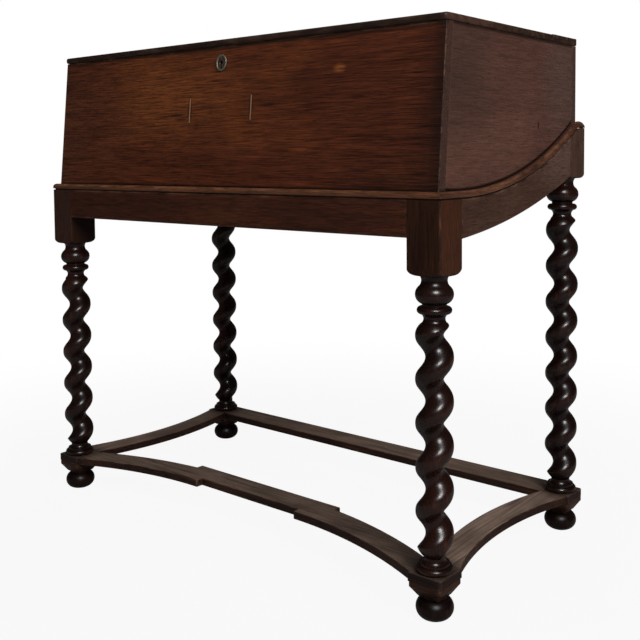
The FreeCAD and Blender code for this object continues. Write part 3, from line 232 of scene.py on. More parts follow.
def sheath(rings: Array, wear: Array) -> Skin:
    """Closes a stack of rings with a flat face of triangles at each end.

    The triangles meet in the end's middle where it sees the whole ring.

    Args:
        rings: points by ring and column.
        wear: wear by ring and column.

    Returns:
        The closed skin.
    """
    rows, columns = rings.shape[:2]
    faces, points, worn = quads(rows, columns), rings.reshape(-1, 3), wear.reshape(-1)
    for row, way in ((0, -1), (rows - 1, 1)):
        ring, number = rings[row], np.arange(columns) + row * columns
        normal, middle = ring_normal(ring), ring.mean(axis=0)
        if np.all(np.cross(ring - middle, np.roll(ring, -1, axis=0) - middle) @ normal > 0):
            corners = np.stack([number, np.roll(number, -1), np.full(columns, len(points))], axis=1)[:, ::way]
            points, worn = np.concatenate([points, [middle]]), np.append(worn, wear[row].mean())
        else:
            corners = np.array(tessellate_polygon([ring.tolist()]))
            ends = ring[corners]
            facing = np.cross(ends[:, 1] - ends[:, 0], ends[:, 2] - ends[:, 0]) @ normal
            corners[facing * way < 0] = corners[facing * way < 0, ::-1]
            corners = number[corners]
        faces += corners.tolist()
    return Skin(points, faces, worn).outward()


def ring_normal(ring: Array) -> Array:
    """The area vector of a ring, half the sum of the cross products of its points with their followers."""
    return np.sum(np.cross(ring, np.roll(ring, -1, axis=0)), axis=0) / 2


def prism(shape: Outline, low: Any, high: Any, plane: Plane, low_edge: Any = 0.8, high_edge: Any = 0.8,
          fade: float = 4.0) -> Skin:
    """Carries an outline straight from low to high with both rims rounded over.

    A ring's points are the outline less its normals times an inset. Over a rim of radius e the inset is
    e(1 - sin t) and the height e(1 - cos t) for t from nought to a quarter turn.

    Args:
        shape: the outline.
        low: where the carrying starts, one value or one for each point.
        high: where it ends.
        plane: the outline's plane.
        low_edge: radius of the first rim, one value or one for each point.
        high_edge: radius of the last rim.
        fade: how far the rims' wear runs on to the flats.

    Returns:
        The closed skin.
    """
    count = len(shape.points)
    bottom, top, lower, upper = (np.broadcast_to(np.asarray(v, float), count) for v in (low, high, low_edge, high_edge))
    t = np.linspace(0, math.pi / 2, 4)[:, None]
    insets, heights, worn = [], [], []

    def rim(base: Array, edge: Array, way: int) -> tuple[list[Array], list[Array], list[float]]:
        """The rings of one rim, from the flat end face out to the wall.

        Args:
            base: height of the end face.
            edge: radius of the rim.
            way: 1 where the piece lies above the face, -1 below.

        Returns:
            Insets, heights and wear of the rings.
        """
        if edge.max() <= 0:
            return [np.zeros(count)], [base], [0.0]
        rows_in = [edge + fade, *(edge * (1 - np.sin(t)))]
        rows_up = [base, *(base + way * edge * (1 - np.cos(t)))]
        return rows_in, rows_up, [0.0, 1.0, 1.0, 1.0, 1.0]

    for base, edge, way in ((bottom, lower, 1), (top, upper, -1)):
        rows_in, rows_up, rows_worn = rim(base, edge, way)
        if edge.max() > 0 and np.min(top - bottom - lower - upper) > 2.2 * fade:
            rows_in, rows_worn = rows_in + [np.zeros(count)], rows_worn + [0.0]
            rows_up = rows_up + [base + way * (edge + fade)]
        if way < 0:
            rows_in, rows_up, rows_worn = rows_in[::-1], rows_up[::-1], rows_worn[::-1]
        insets, heights, worn = insets + rows_in, heights + rows_up, worn + rows_worn
    inset, height = np.stack(insets), np.stack(heights)
    rings = np.empty((*inset.shape, 3))
    flat = shape.inset(inset)
    u, v, w = plane.value
    rings[:, :, u], rings[:, :, v], rings[:, :, w] = flat[:, :, 0], flat[:, :, 1], height
    wall = (inset < fade * 0.9)
    wear = np.maximum(np.asarray(worn)[:, None], shape.wear * wall) * shape.rubbed
    return sheath(rings, wear)


def column(radius: Array, height: Array, centre: tuple[float, float], angle: Array, wear: Array) -> Skin:
    """A turned or carved upright: the point at an angle and height lies at the given radius from the axis.

    Args:
        radius: radius by ring and angle.
        height: height of each ring.
        centre: the axis, in plan.
        angle: angles of the columns.
        wear: wear by ring and angle.

    Returns:
        The closed skin.
    """
    rings = np.stack([centre[0] + radius * np.cos(angle), centre[1] + radius * np.sin(angle),
                      np.broadcast_to(height[:, None], radius.shape)], axis=2)
    return sheath(rings, wear)


def swell(z: Array, low: tuple[float, float], high: tuple[float, float], rise: float) -> Array:
    """The radius along an arc between two (height, radius) points that bulges by a rise, inwards if negative.

    The arc's apex is the chord's middle moved outwards by the rise, and its centre lies one arc radius back.

    Args:
        z: heights.
        low: lower end.
        high: upper end.
        rise: bulge at the middle of the chord.

    Returns:
        A radius for each height.
    """
    first, last = np.array(low), np.array(high)
    chord = last - first
    length = float(np.linalg.norm(chord))
    normal = np.array([-chord[1], chord[0]]) / length
    size = bow(length, abs(rise))
    centre = (first + last) / 2 + normal * (rise - math.copysign(size, rise))
    inside = np.maximum(size ** 2 - (z - centre[0]) ** 2, 0)
    return centre[1] + math.copysign(1, rise) * np.sqrt(inside)


def rounded_square(half: float, corner: Any, between: int = 0) -> Outline:
    """A square about the origin with rounded corners and more points along its sides.

    Args:
        half: half its width.
        corner: radius of its corners, one value or one for each.
        between: points on each side between the corners.

    Returns:
        The outline.
    """
    ends = half * np.array([(-1, -1), (1, -1), (1, 1), (-1, 1)], float)
    share = np.linspace(0, 1, between + 1, endpoint=False)[None, :, None]
    spots = (ends[:, None] * (1 - share) + np.roll(ends, -1, axis=0)[:, None] * share).reshape(-1, 2)
    radii = np.zeros(len(spots))
    radii[::between + 1] = corner
    return outline(spots, radii, fade=3.0)


# Finishes

# Dirt in the pores, in pits and on bruised arrises; dirt and painted shade in grooves; painted shade in the narrow gaps
# along joints.
PORE_DIRT, PIT_DIRT, BRUISE_DIRT, GROOVE_DIRT_AND_SHADE, SHADOW_LINE = "#120907", "#0d0504", "#150b09", "#0b0504", "#0f0604"
# Pale dust and painted sheen on level tops, and the two tones of timber that never saw stain.
DUST_AND_SHEEN, BARE_DARK, BARE_LIGHT = "#847063", "#6e4a30", "#8d6645"
WHITE = (1.0, 1.0, 1.0, 1.0)


def linear(colour: str) -> tuple[float, float, float, float]:
    """Turns an sRGB hex value to linear light.

    Args:
        colour: six hex digits after a hash.

    Returns:
        Red, green, blue and full alpha.
    """
    parts = np.array([int(colour[i:i + 2], 16) for i in (1, 3, 5)]) / 255
    light = np.where(parts <= 0.04045, parts / 12.92, ((parts + 0.055) / 1.055) ** 2.4)
    return (*light.tolist(), 1.0)


def add_node(tree: bpy.types.NodeTree, kind: str, inputs: Optional[dict] = None, **settings: Any) -> bpy.types.Node:
    """Adds one shader node, sets its properties, and fills or links its inputs.

    Args:
        tree: the node tree.
        kind: the node's type after ShaderNode.
        inputs: a value or an output socket for each input, by name or number.
        settings: properties of the node.

    Returns:
        The new node.
    """
    node = tree.nodes.new("ShaderNode" + kind)
    for key, value in settings.items():
        setattr(node, key, value)
    for key, value in (inputs or {}).items():
        if isinstance(value, bpy.types.NodeSocket):
            tree.links.new(value, node.inputs[key])
        else:
            node.inputs[key].default_value = value
    return node


def new_material(name: str) -> tuple[bpy.types.Material, bpy.types.NodeTree]:
    """An empty node material.

    Args:
        name: the material's name.

    Returns:
        The material and its tree.
    """
    material = bpy.data.materials.new(name)
    material.use_nodes = True
    material.node_tree.nodes.clear()
    return material, material.node_tree


class Grain(Enum):
    """The way the timber's fibres run."""

    ALONG_X = 0
    ALONG_Y = 1
    ALONG_Z = 2


@dataclass(frozen=True)
class StainAndShade:
    """A soft-edged mark on a board, used for real stains and for painted shade and sheen: centre and reach in
    millimetres, colour and strength.

    With a ring it lies along a circle of that radius about the centre, seen along X.
    """

    centre: tuple[float, float, float]
    reach: tuple[float, float, float]
    colour: str
    strength: float
    ring: float = 0.0


@dataclass(frozen=True)
class Oak:
    """Sawn oak under dark stain and old wax.

    The eye sees fine dark pores and streaks along the fibres, slow changes from near black to amber, pale
    chips on the arrises, dust with painted sheen on level tops and a soft polish that is duller in the pores. The
    figure is the contrast of the streaks, and the grime is the least share of dark bruises along a worn arris.
    """

    name: str
    dark: str
    middle: str
    light: str
    worn: str
    roughness: float
    chips: float = 1.0
    dust_and_sheen: float = 0.0
    pore_depth: float = 0.12
    ior: float = 1.26
    figure: float = 0.45
    streak_gap: float = 1.15
    streak_run: float = 28.0
    pore_share: float = 0.55
    grime: float = 0.0

    def material(self, piece: str, grain: Grain, seed: float, stains_and_shade: Sequence[StainAndShade] = ()) -> bpy.types.Material:
        """Mixes the finish for one piece.

        Args:
            piece: the piece's name.
            grain: the way its fibres run.
            seed: where in the timber it was sawn.
            stains_and_shade: marks of its own.

        Returns:
            The material.
        """
        material, tree = new_material(f"{self.name}_{piece}")
        spot = add_node(tree, "TexCoord").outputs["Object"]

        def noise(across: float, along: float, detail: float, shift: float = 0.0) -> bpy.types.NodeSocket:
            """Noise with cells of a width across and a length along the fibres, in millimetres.

            Args:
                across: cell width.
                along: cell length.
                detail: octaves.
                shift: offset from the other patterns.

            Returns:
                The noise's value.
            """
            scale = [1000 / across] * 3
            scale[grain.value] = 1000 / along
            place = add_node(tree, "Mapping", {"Vector": spot, "Location": (seed * 3.7 + shift, seed * 1.9, seed * 2.3),
                                               "Scale": scale})
            return add_node(tree, "TexNoise", {"Vector": place.outputs[0], "Scale": 1.0, "Detail": detail,
                                               "Roughness": 0.55}).outputs["Fac"]

        def blend(amount: Any, first: Any, second: Any, kind: str = "MIX") -> bpy.types.NodeSocket:
            """Mixes two colours.

            Args:
                amount: the second colour's share.
                first: a colour or socket.
                second: a colour or socket.
                kind: way of mixing.

            Returns:
                The mixed colour.
            """
            return add_node(tree, "Mix", {0: amount, 6: first, 7: second}, data_type="RGBA", blend_type=kind).outputs[2]

        def ranged(value: Any, low: float, high: float, start: float = 0.0, end: float = 1.0) -> bpy.types.NodeSocket:
            """Carries a value's range to another, held at both ends.

            Args:
                value: the value.
                low: its low mark.
                high: its high mark.
                start: result at the low mark.
                end: result at the high mark.

            Returns:
                The result.
            """
            return add_node(tree, "MapRange", {"Value": value, "From Min": low, "From Max": high, "To Min": start,
                                               "To Max": end}).outputs["Result"]

        def product(first: Any, second: Any) -> bpy.types.NodeSocket:
            """Two values multiplied."""
            return add_node(tree, "Math", {0: first, 1: second}, operation="MULTIPLY").outputs[0]

        def point_value(name: str) -> bpy.types.NodeSocket:
            """A value stored on the mesh's points."""
            return add_node(tree, "Attribute", attribute_name=name).outputs["Fac"]

        figure = noise(9, 260, 4)
        streak = noise(self.streak_gap, self.streak_run, 3, 11.0)
        # Real pores are about 0.3 mm wide; they are drawn at 1.2 mm so that a render of the whole piece shows them.
        pores = noise(1.2, 16, 2, 23.0)
        cloud = noise(85, 190, 2, 37.0)
        tone = blend(ranged(figure, 0.2, 0.62), linear(self.dark), linear(self.middle))
        tone = blend(ranged(cloud, 0.48, 0.76, 0.0, 0.6), tone, linear(self.light))
        tone = blend(ranged(cloud, 0.44, 0.24, 0.0, 0.5), tone, linear(self.dark))
        marks = []
        # The marks are real stains, and also painted shade and painted sheen.
        for stain in stains_and_shade:
            away = add_node(tree, "VectorMath", {0: spot, 1: tuple(c * MM for c in stain.centre)}, operation="SUBTRACT")
            away = add_node(tree, "VectorMath", {0: away.outputs[0], 1: tuple(1000 / r for r in stain.reach)},
                            operation="MULTIPLY")
            away = add_node(tree, "VectorMath", {0: away.outputs[0]}, operation="LENGTH").outputs["Value"]
            if stain.ring:
                away = add_node(tree, "Math", {0: away, 1: stain.ring / stain.reach[2]}, operation="SUBTRACT")
                away = add_node(tree, "Math", {0: away.outputs[0]}, operation="ABSOLUTE").outputs[0]
            marks.append(ranged(away, 1.0, 0.25, 0.0, stain.strength))
            tone = blend(marks[-1], tone, linear(stain.colour))
        weak, strong = ((1 + way * self.figure,) * 3 + (1,) for way in (-1, 1))
        streaked = blend(1.0, tone, blend(ranged(streak, 0.3, 0.7), weak, strong), "MULTIPLY")
        pored = blend(ranged(pores, 0.55, 0.66, 0.0, self.pore_share), streaked, linear(PORE_DIRT))
        raw = blend(0.35, blend(ranged(figure, 0.3, 0.7), linear(BARE_DARK), linear(BARE_LIGHT)), streaked)
        pored = blend(point_value("inside"), pored, raw)
        # Worm holes and dents, one in about 50 mm and 1.5 mm across.
        pit = add_node(tree, "TexVoronoi", {"Vector": spot, "Scale": 1000 / 50.0}).outputs["Distance"]
        pored = blend(ranged(pit, 0.03, 0.018, 0.0, 0.8), pored, linear(PIT_DIRT))
        rub = noise(11, 30, 3, 51.0)
        edge = point_value("wear")
        chipped = product(ranged(edge, 0.5, 1.0), ranged(rub, 0.53, 0.68, 0.08, self.chips))
        bruised = product(ranged(edge, 0.45, 1.0), ranged(rub, 0.5, 0.4, self.grime, 1.3 * self.chips))
        colour = blend(bruised, blend(chipped, pored, linear(self.worn)), linear(BRUISE_DIRT))
        # Dirt and painted shade darken the grooves, which are marked by wear below nought.
        colour = blend(ranged(edge, -0.2, -0.8, 0.0, 0.85), colour, linear(GROOVE_DIRT_AND_SHADE))
        # Pale dust on level tops, which also stands in for painted sheen there.
        if self.dust_and_sheen > 0:
            patches = ranged(noise(30, 60, 3, 71.0), 0.25, 0.75, 0.45, 1.0)
            lying = product(ranged(point_value("upward"), 0.75, 1.0), patches)
            lying = product(lying, ranged(streak, 0.34, 0.68, 0.35, 1.2))
            for mark in marks:
                lying = product(lying, ranged(mark, 0.0, 1.0, 1.0, 0.0))
            colour = blend(product(lying, self.dust_and_sheen), colour, linear(DUST_AND_SHEEN))
        spread = min(0.2, 0.03 + 2 * self.pore_depth)
        rough = ranged(add_node(tree, "Math", {0: pores, 1: streak}, operation="ADD").outputs[0], 0.75, 1.25,
                       self.roughness - 0.3 * spread, self.roughness + 0.7 * spread)
        ridges = blend(ranged(streak, 0.3, 0.7), (0.6, 0.6, 0.6, 1), (0.9, 0.9, 0.9, 1))
        height = blend(ranged(pores, 0.54, 0.7), ridges, (0, 0, 0, 1))
        bump = add_node(tree, "Bump", {"Strength": 0.6, "Distance": self.pore_depth * MM, "Height": height})
        surface = add_node(tree, "BsdfPrincipled", {"Base Color": colour, "Roughness": rough, "Normal": bump.outputs[0],
                                                    "IOR": self.ior})
        add_node(tree, "OutputMaterial", {"Surface": surface.outputs[0]})
        return material


@dataclass(frozen=True)
class Iron:
    """Wrought or cast metal gone grey-brown with age: dull, mottled, brighter where it is rubbed."""

    name: str
    tarnish: str
    bright: str
    roughness: float

    def material(self) -> bpy.types.Material:
        """Mixes the finish.

        Returns:
            The material.
        """
        material, tree = new_material(self.name)
        spot = add_node(tree, "TexCoord").outputs["Object"]
        # Tarnish clouds of about 4 mm over casting grit of about 0.8 mm.
        cloud = add_node(tree, "TexNoise", {"Vector": spot, "Scale": 1000 / 4, "Detail": 4.0}).outputs["Fac"]
        grit = add_node(tree, "TexNoise", {"Vector": spot, "Scale": 1000 / 0.8, "Detail": 2.0}).outputs["Fac"]
        worn = add_node(tree, "Attribute", attribute_name="wear").outputs["Fac"]
        rubbed = add_node(tree, "Math", {0: cloud, 1: worn}, operation="ADD").outputs[0]
        share = add_node(tree, "MapRange", {"Value": rubbed, "From Min": 0.4, "From Max": 1.2}).outputs["Result"]
        colour = add_node(tree, "Mix", {0: share, 6: linear(self.tarnish), 7: linear(self.bright)}, data_type="RGBA")
        rough = add_node(tree, "MapRange", {"Value": cloud, "From Min": 0.3, "From Max": 0.7,
                                            "To Min": self.roughness - 0.08, "To Max": self.roughness + 0.12})
        bump = add_node(tree, "Bump", {"Strength": 0.35, "Distance": 0.1 * MM, "Height": grit})
        surface = add_node(tree, "BsdfPrincipled", {"Base Color": colour.outputs[2], "Metallic": 0.85,
                                                    "Roughness": rough.outputs["Result"], "Normal": bump.outputs[0]})
        add_node(tree, "OutputMaterial", {"Surface": surface.outputs[0]})
        return material


# The front is rubbed oak, red-brown and dull, with amber in the light places.
FRONT_OAK = Oak("waxed_oak", "#371709", "#4e2411", "#6c3917", "#7d5f48", 0.46, chips=0.6, figure=0.75,
                streak_run=44.0, grime=0.5)
# The ends are greyer than the front: painted sheen of the glare on their faces.
GLARE_GREY_OAK = Oak("glare_grey_oak", "#3b2720", "#482f27", "#54392f", "#6b574a", 0.46, chips=0.4, figure=0.28, pore_share=0.3)
# The lid's edges are nearly black with handling.
LID_OAK = Oak("lid_oak", "#180e0a", "#291912", "#3a271e", "#5d4739", 0.42, chips=0.3)
# The front rail is darker than the box and redder towards the right.
RAIL_OAK = Oak("rail_oak", "#2b140b", "#3c1d10", "#4f2b18", "#5d4435", 0.44, chips=0.5, figure=0.55)
# The side rails and back blocks are greyed like the ends, as painted sheen of glare.
SIDE_RAIL_OAK = Oak("side_rail_oak", "#2f2019", "#3b281f", "#473329", "#655040", 0.44, chips=0.5, figure=0.3)
# The front legs' square blocks are the darkest sawn timber.
BLOCK_OAK = Oak("block_oak", "#140602", "#230e06", "#38200f", "#5d4433", 0.42, chips=0.6)
# Turned work was stained almost black and burnished on the lathe.
TURNED_OAK = Oak("turned_oak", "#070202", "#140704", "#30140c", "#42251a", 0.27, chips=0.4, pore_depth=0.02,
                 streak_run=24.0, ior=1.38)
# The feet are black with dirt and have lost their polish.
FOOT_OAK = Oak("foot_oak", "#060202", "#100604", "#1c0d08", "#2f1d17", 0.36, chips=0.4, pore_depth=0.004, ior=1.25)
# Their square caps are sawn from browner timber.
CAP_OAK = Oak("cap_oak", "#190b06", "#2b160d", "#432817", "#5d4030", 0.45, chips=0.5)
# Stretchers carry foot wear, and dust with painted sheen, on their tops.
STRETCHER_OAK = Oak("stretcher_oak", "#110805", "#24130c", "#3d2519", "#75594a", 0.5, chips=0.35, dust_and_sheen=0.62, figure=0.9,
                    streak_gap=1.5, streak_run=110.0)
# The side ones get more dust and painted sheen: dust, and painted light for the stronger light they lie in.
SIDE_STRETCHER_OAK = replace(STRETCHER_OAK, name="side_stretcher_oak", dust_and_sheen=0.85)
# The moulding is handled most, so its round is rubbed to a dull amber, most of all along the front.
FRONT_MOULDING_OAK = Oak("front_moulding_oak", "#3b2112", "#5d361f", "#7c4c2b", "#8d694d", 0.36, chips=0.6, ior=1.4)
MOULDING_OAK = Oak("moulding_oak", "#2b1810", "#482a1c", "#62402a", "#7d5b43", 0.36, chips=0.6, ior=1.4)
# Oak that never saw stain or wax, seen only inside the box.
RAW_OAK = Oak("raw_oak", "#523722", "#6a4a30", "#7d5a3c", "#7d5a3c", 0.6, chips=0.1, figure=0.3, pore_share=0.35)
# Slips of unstained ash or oak, planed flush.
PALE_SLIP = Oak("pale_slip", "#6e4f39", "#876549", "#9a7859", "#9a7859", 0.5, chips=0.1, figure=0.15, pore_share=0.2)
OLD_IRON = Iron("old_iron", "#3a2f29", "#8d8173", 0.46)


# Pieces


def publish(node: str, skins: Sequence[Skin], material: bpy.types.Material, body: str,
            inside: Optional[Inside] = None, cutters: Sequence[Skin] = ()) -> bpy.types.Object:
    """Makes a dressed piece that stands for a CAD node and rides on its body.

    Args:
        node: the CAD node.
        skins: closed skins of the piece.
        material: its finish.
        body: the body that it moves with.
        inside: gives for each point how far it belongs to the unwaxed inner face.
        cutters: closed skins to cut out of it.

    Returns:
        The new object.
    """
    piece = mesh_object(node + "_dressed", skins, inside)
    for cutter in cutters:
        carve(piece, cutter)
    finish_mesh(piece)
    piece.data.materials.append(material)
    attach(piece, body)
    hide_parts(node)
    LOG.info("%s: %d points", piece.name, len(piece.data.vertices))
    return piece


def mesh_object(name: str, skins: Sequence[Skin], inside: Optional[Inside] = None) -> bpy.types.Object:
    """Joins skins into one mesh object at the origin, with their values stored on its points.

    Args:
        name: the object's name.
        skins: closed skins, in millimetres.
        inside: gives each point's share of the inner face.

    Returns:
        The object.
    """
    starts = np.cumsum([0] + [len(skin.points) for skin in skins])
    points = np.concatenate([skin.points for skin in skins])
    faces = [[index + int(start) for index in face] for skin, start in zip(skins, starts) for face in skin.faces]
    mesh = bpy.data.meshes.new(name)
    mesh.from_pydata((points * MM).tolist(), [], faces)
    values = {"wear": np.concatenate([skin.wear for skin in skins]),
              "inside": inside(points) if inside else np.zeros(len(points))}
    for key, value in values.items():
        mesh.attributes.new(key, "FLOAT", "POINT").data.foreach_set("value", np.asarray(value, np.float32))
    piece = bpy.data.objects.new(name, mesh)
    bpy.context.scene.collection.objects.link(piece)
    return piece


def carve(piece: bpy.types.Object, cutter: Skin) -> None:
    """Cuts a closed skin out of a piece.

    Args:
        piece: the piece.
        cutter: what is taken away.
    """
    tool = mesh_object("cutter", [cutter])
    change = piece.modifiers.new("cut", "BOOLEAN")
    change.operation, change.solver, change.object = "DIFFERENCE", "EXACT", tool
    view = bpy.context.evaluated_depsgraph_get()
    cut = bpy.data.meshes.new_from_object(piece.evaluated_get(view), preserve_all_data_layers=True, depsgraph=view)
    piece.modifiers.clear()
    old, piece.data = piece.data, cut
    cut.name = piece.name
    bpy.data.meshes.remove(old)
    bpy.data.meshes.remove(tool.data)


def finish_mesh(piece: bpy.types.Object) -> None:
    """Shades a piece smoothly between its sharp edges and stores how far each point faces up.

    Args:
        piece: the piece.
    """
    mesh = piece.data
    mesh.shade_smooth()
    mesh.set_sharp_from_angle(angle=math.radians(SHARP_DEGREES))
    normals = np.empty(len(mesh.vertices) * 3, np.float32)
    mesh.vertices.foreach_get("normal", normals)
    upward = np.clip(normals.reshape(-1, 3)[:, 2], 0, 1)
    mesh.attributes.new("upward", "FLOAT", "POINT").data.foreach_set("value", upward)


def near_face(axis: int, place: float) -> Inside:
    """Tells which points lie on an inner face that is square to an axis."""
    return lambda points: (np.abs(points[:, axis] - place) < FACE_NEAR).astype(float)


def box_skin(low: Sequence[float], high: Sequence[float]) -> Skin:
    """A plain block between two corners, used to cut housings."""
    shape = Outline.plain(np.array([(low[0], low[1]), (high[0], low[1]), (high[0], high[1]), (low[0], high[1])]))
    return prism(shape, low[2], high[2], Plane.XY, 0.0, 0.0)


def rod_skin(start: float, end: float, y: float, z: float, radius: float) -> Skin:
    """A round rod along X about a line at y and z, used to cut knuckle seats."""
    angle = np.linspace(0, 2 * math.pi, 32, endpoint=False)
    ring = np.stack([y + radius * np.cos(angle), z + radius * np.sin(angle)], axis=1)
    return prism(Outline.plain(ring), start, end, Plane.YZ, 0.0, 0.0)


@dataclass(frozen=True)
class Seat:
    """The hollow line on which the box sits: level, a long arc, a short round and level again."""

    half_depth: float = 205.0
    height: float = 532.0
    rise: float = 95.5
    flat_front: float = 55.0
    flat_back: float = 15.0
    ease: float = 30.0

    @property
    def whole(self) -> float:
        """Sum of the radii of the arc and of the round that runs on from it: (run^2 + rise^2) / (2 rise)."""
        run = 2 * self.half_depth - self.flat_front - self.flat_back
        return (run ** 2 + self.rise ** 2) / (2 * self.rise)

    @property
    def hollow_radius(self) -> float:
        """Radius of the long arc."""
        return self.whole - self.ease

    @property
    def hollow_centre(self) -> tuple[float, float]:
        """Centre of the long arc, as depth and height."""
        return self.flat_front - self.half_depth, self.height + self.hollow_radius

    def line(self, offset: float = 0.0) -> tuple[Array, Array]:
        """Points and upward normals of the line, moved along its normals.

        On the arc the point at angle a is (R sin a, R - R cos a) from its start with normal (-sin a, cos a),
        and on the round it is the round's centre plus the normal times its radius.

        Args:
            offset: distance above the seat.

        Returns:
            Points as (y, z), and normals.
        """
        run = 2 * self.half_depth - self.flat_front - self.flat_back
        radius, steepest = self.hollow_radius, math.asin(run / self.whole)
        hollow, ease = np.linspace(0, steepest, 56), np.linspace(steepest, 0, 14)[1:]
        bend, rest = self.flat_front - self.half_depth, self.half_depth - self.flat_back
        top = self.height + self.rise
        points = np.concatenate([
            [(-self.half_depth, self.height)],
            np.stack([bend + radius * np.sin(hollow), self.height + radius * (1 - np.cos(hollow))], axis=1),
            np.stack([rest - self.ease * np.sin(ease), top - self.ease + self.ease * np.cos(ease)], axis=1),
            [(self.half_depth, top)]])
        angle = np.concatenate([[0], hollow, ease, [0]])
        normals = np.stack([-np.sin(angle), np.cos(angle)], axis=1)
        return points + normals * offset, normals

    def at(self, y: Array, offset: float = 0.0) -> Array:
        """The line's height at each depth."""
        points, _ = self.line(offset)
        return np.interp(y, points[:, 0], points[:, 1])

    def stretch(self, start: float, end: float, offset: float = 0.0, count: int = 60) -> Array:
        """Points of the line between two depths, from start to end."""
        y = np.linspace(start, end, count)
        return np.stack([y, self.at(y, offset)], axis=1)


SEAT = Seat()
SIDES = (("left", -1), ("right", 1))
ENDS = (("front", -1), ("back", 1))
# The keyhole: radius of its round, half the slot's width, and the slot's reach below the round's middle.
KEYHOLE = (3.2, 1.6, 8.0)


@dataclass(frozen=True)
class Leg:
    """One barley-twist leg."""

    node: str
    x: float
    y: float
    block_low: float
    twist_degrees: float
    stock: float = 50.0
    pommel: float = 11.0
    stretcher_top: float = 60.0
    pitch: float = 56.25
    offset: float = 6.4
    half_thick: float = 18.0
    half_wide: float = 19.8
    columns: int = 112

    def block(self) -> Skin:
        """The square block: a rounded square whose corners are cut to a circle near the foot of the block.

        That circle's radius at height z above the block's foot is half the stock plus the root of the pommel
        squared less (pommel - z) squared.

        Returns:
            The skin.
        """
        half = self.stock / 2
        outer = np.sign((self.x, self.y))
        ends = np.array([(-1, -1), (1, -1), (1, 1), (-1, 1)])
        shape = rounded_square(half, np.where((ends == outer).all(axis=1), 1.8, 0.5), 8)
        shape.wear = shape.wear * (shape.points * outer > half - 6).all(axis=1) * (1.0 if self.y < 0 else 0.5)
        low = self.block_low + self.pommel * (1 - np.cos(np.linspace(0, math.pi / 2, 10)))
        top = np.broadcast_to(SEAT.at(shape.points[:, 1] + self.y), len(shape.points)) - SEAT_GAP
        heights = np.concatenate([np.repeat(low[:, None], len(shape.points), axis=1),
                                  low[-1] + (top - low[-1]) * np.linspace(0, 1, 5)[1:, None]])
        reach = np.linalg.norm(shape.points, axis=1)
        limit = half + np.sqrt(np.maximum(self.pommel ** 2 - (self.block_low + self.pommel - heights) ** 2, 0))
        limit = np.where(heights >= self.block_low + self.pommel, reach.max() + 1, limit)
        scale = np.minimum(1, limit / reach)
        rings = np.concatenate([shape.points * scale[:, :, None] + (self.x, self.y), heights[:, :, None]], axis=2)
        return sheath(rings, np.broadcast_to(shape.wear, heights.shape) * (scale > 0.999))

    def twist(self, z: Array, angle: Array) -> Array:
        """The radius of the twisted shaft.

        The level section is an oval set off the axis, turned once in each pitch. A ray from the axis meets it
        where A r^2 + B r + C = 0, with A = cos^2/a^2 + sin^2/b^2, B = -2 d cos/a^2 and C = d^2/a^2 - 1.

        Args:
            z: heights above the start of the twist.
            angle: angles of the columns.

        Returns:
            Radius by height and angle.
        """
        phase = math.radians(self.twist_degrees) + 2 * math.pi * z / self.pitch
        ray = angle[None, :] - phase[:, None]
        a = np.cos(ray) ** 2 / self.half_thick ** 2 + np.sin(ray) ** 2 / self.half_wide ** 2
        b = -2 * self.offset * np.cos(ray) / self.half_thick ** 2
        c = self.offset ** 2 / self.half_thick ** 2 - 1
        return (-b + np.sqrt(b ** 2 - 4 * a * c)) / (2 * a)

    def shaft(self) -> Skin:
        """Everything below the block: base mouldings, twist and the turnings under the block.

        The turned parts are arcs of radius over height. The twist is held under its rounded shoulders and
        runs into the collar and base by the larger radius of the two.

        Returns:
            The skin.
        """
        angle = np.linspace(0, 2 * math.pi, self.columns, endpoint=False)
        foot = self.stretcher_top
        start, end = foot + 19.5, self.block_low - 60.0
        even = np.linspace(0, 1, 12)
        eased = (1 - np.cos(math.pi * even)) / 2
        ring, cove = foot + 8.5 * eased, foot + 12 + 7.5 * even
        turned = [
            (ring, swell(ring, (foot, 21.4), (foot + 8.5, 21.4), 2.5)),
            (np.array([foot + 8.5, foot + 12]), np.array([19.4, 19.4])),
            (cove, swell(cove, (foot + 12, 17.0), (start, 14.0), -1.2)),
        ]
        z = np.linspace(start, end, int((end - start) / 1.15))
        reach = self.offset + self.half_thick + 0.1
        shoulder = np.minimum(
            np.where(z < start + 20, swell(z, (start, 14.0), (start + 20, reach), 2.1), reach + 1),
            np.where(z > end - 16, swell(z, (end - 16, reach), (end, 15.6), 2.1), reach + 1))
        neck = np.where(z < start + 10, 14.0 - 0.08 * (z - start), 0)
        collar = np.where(z > end - 10, swell(z, (end - 10, 13.2), (end, 15.6), 3.2), 0)
        carved = np.minimum(self.twist(z - start, angle), shoulder[:, None])
        carved = np.maximum(carved, np.maximum(neck, collar)[:, None])
        top = self.block_low
        cove_up, bead = end + 11 * even, end + 11 + 9.5 * eased
        bulb, neck_up = end + 23.5 + 21.5 * eased, end + 45 + 15 * even
        above = [
            (cove_up, swell(cove_up, (end, 15.6), (end + 11, 17.6), -2.7)),
            (bead, swell(bead, (end + 11, 17.6), (end + 20.5, 17.6), 4.7)),
            (np.array([end + 20.5, end + 23.5]), np.array([15.6, 15.6])),
            (bulb[:-1], swell(bulb[:-1], (end + 23.5, 15.6), (end + 45, 20.4), 6.3)),
            (neck_up, swell(neck_up, (end + 45, 20.4), (top, 19.5), -3.35)),
            (np.array([top + 2.0]), np.array([19.0])),
        ]
        spread = np.ones(self.columns)
        rows = [(level, size[:, None] * spread) for level, size in turned] + [(z, carved)]
        rows += [(level, size[:, None] * spread) for level, size in above]
        height = np.concatenate([level for level, _ in rows])
        radius = np.concatenate([size for _, size in rows])
        apart = np.r_[True, np.abs(np.diff(height)) + np.abs(np.diff(radius, axis=0)).max(axis=1) > 1e-6]
        height, radius = height[apart], radius[apart]
        wear = np.clip((radius - 21.0) / 3.2, 0, 1)
        return column(radius, height, (self.x, self.y), angle, wear)


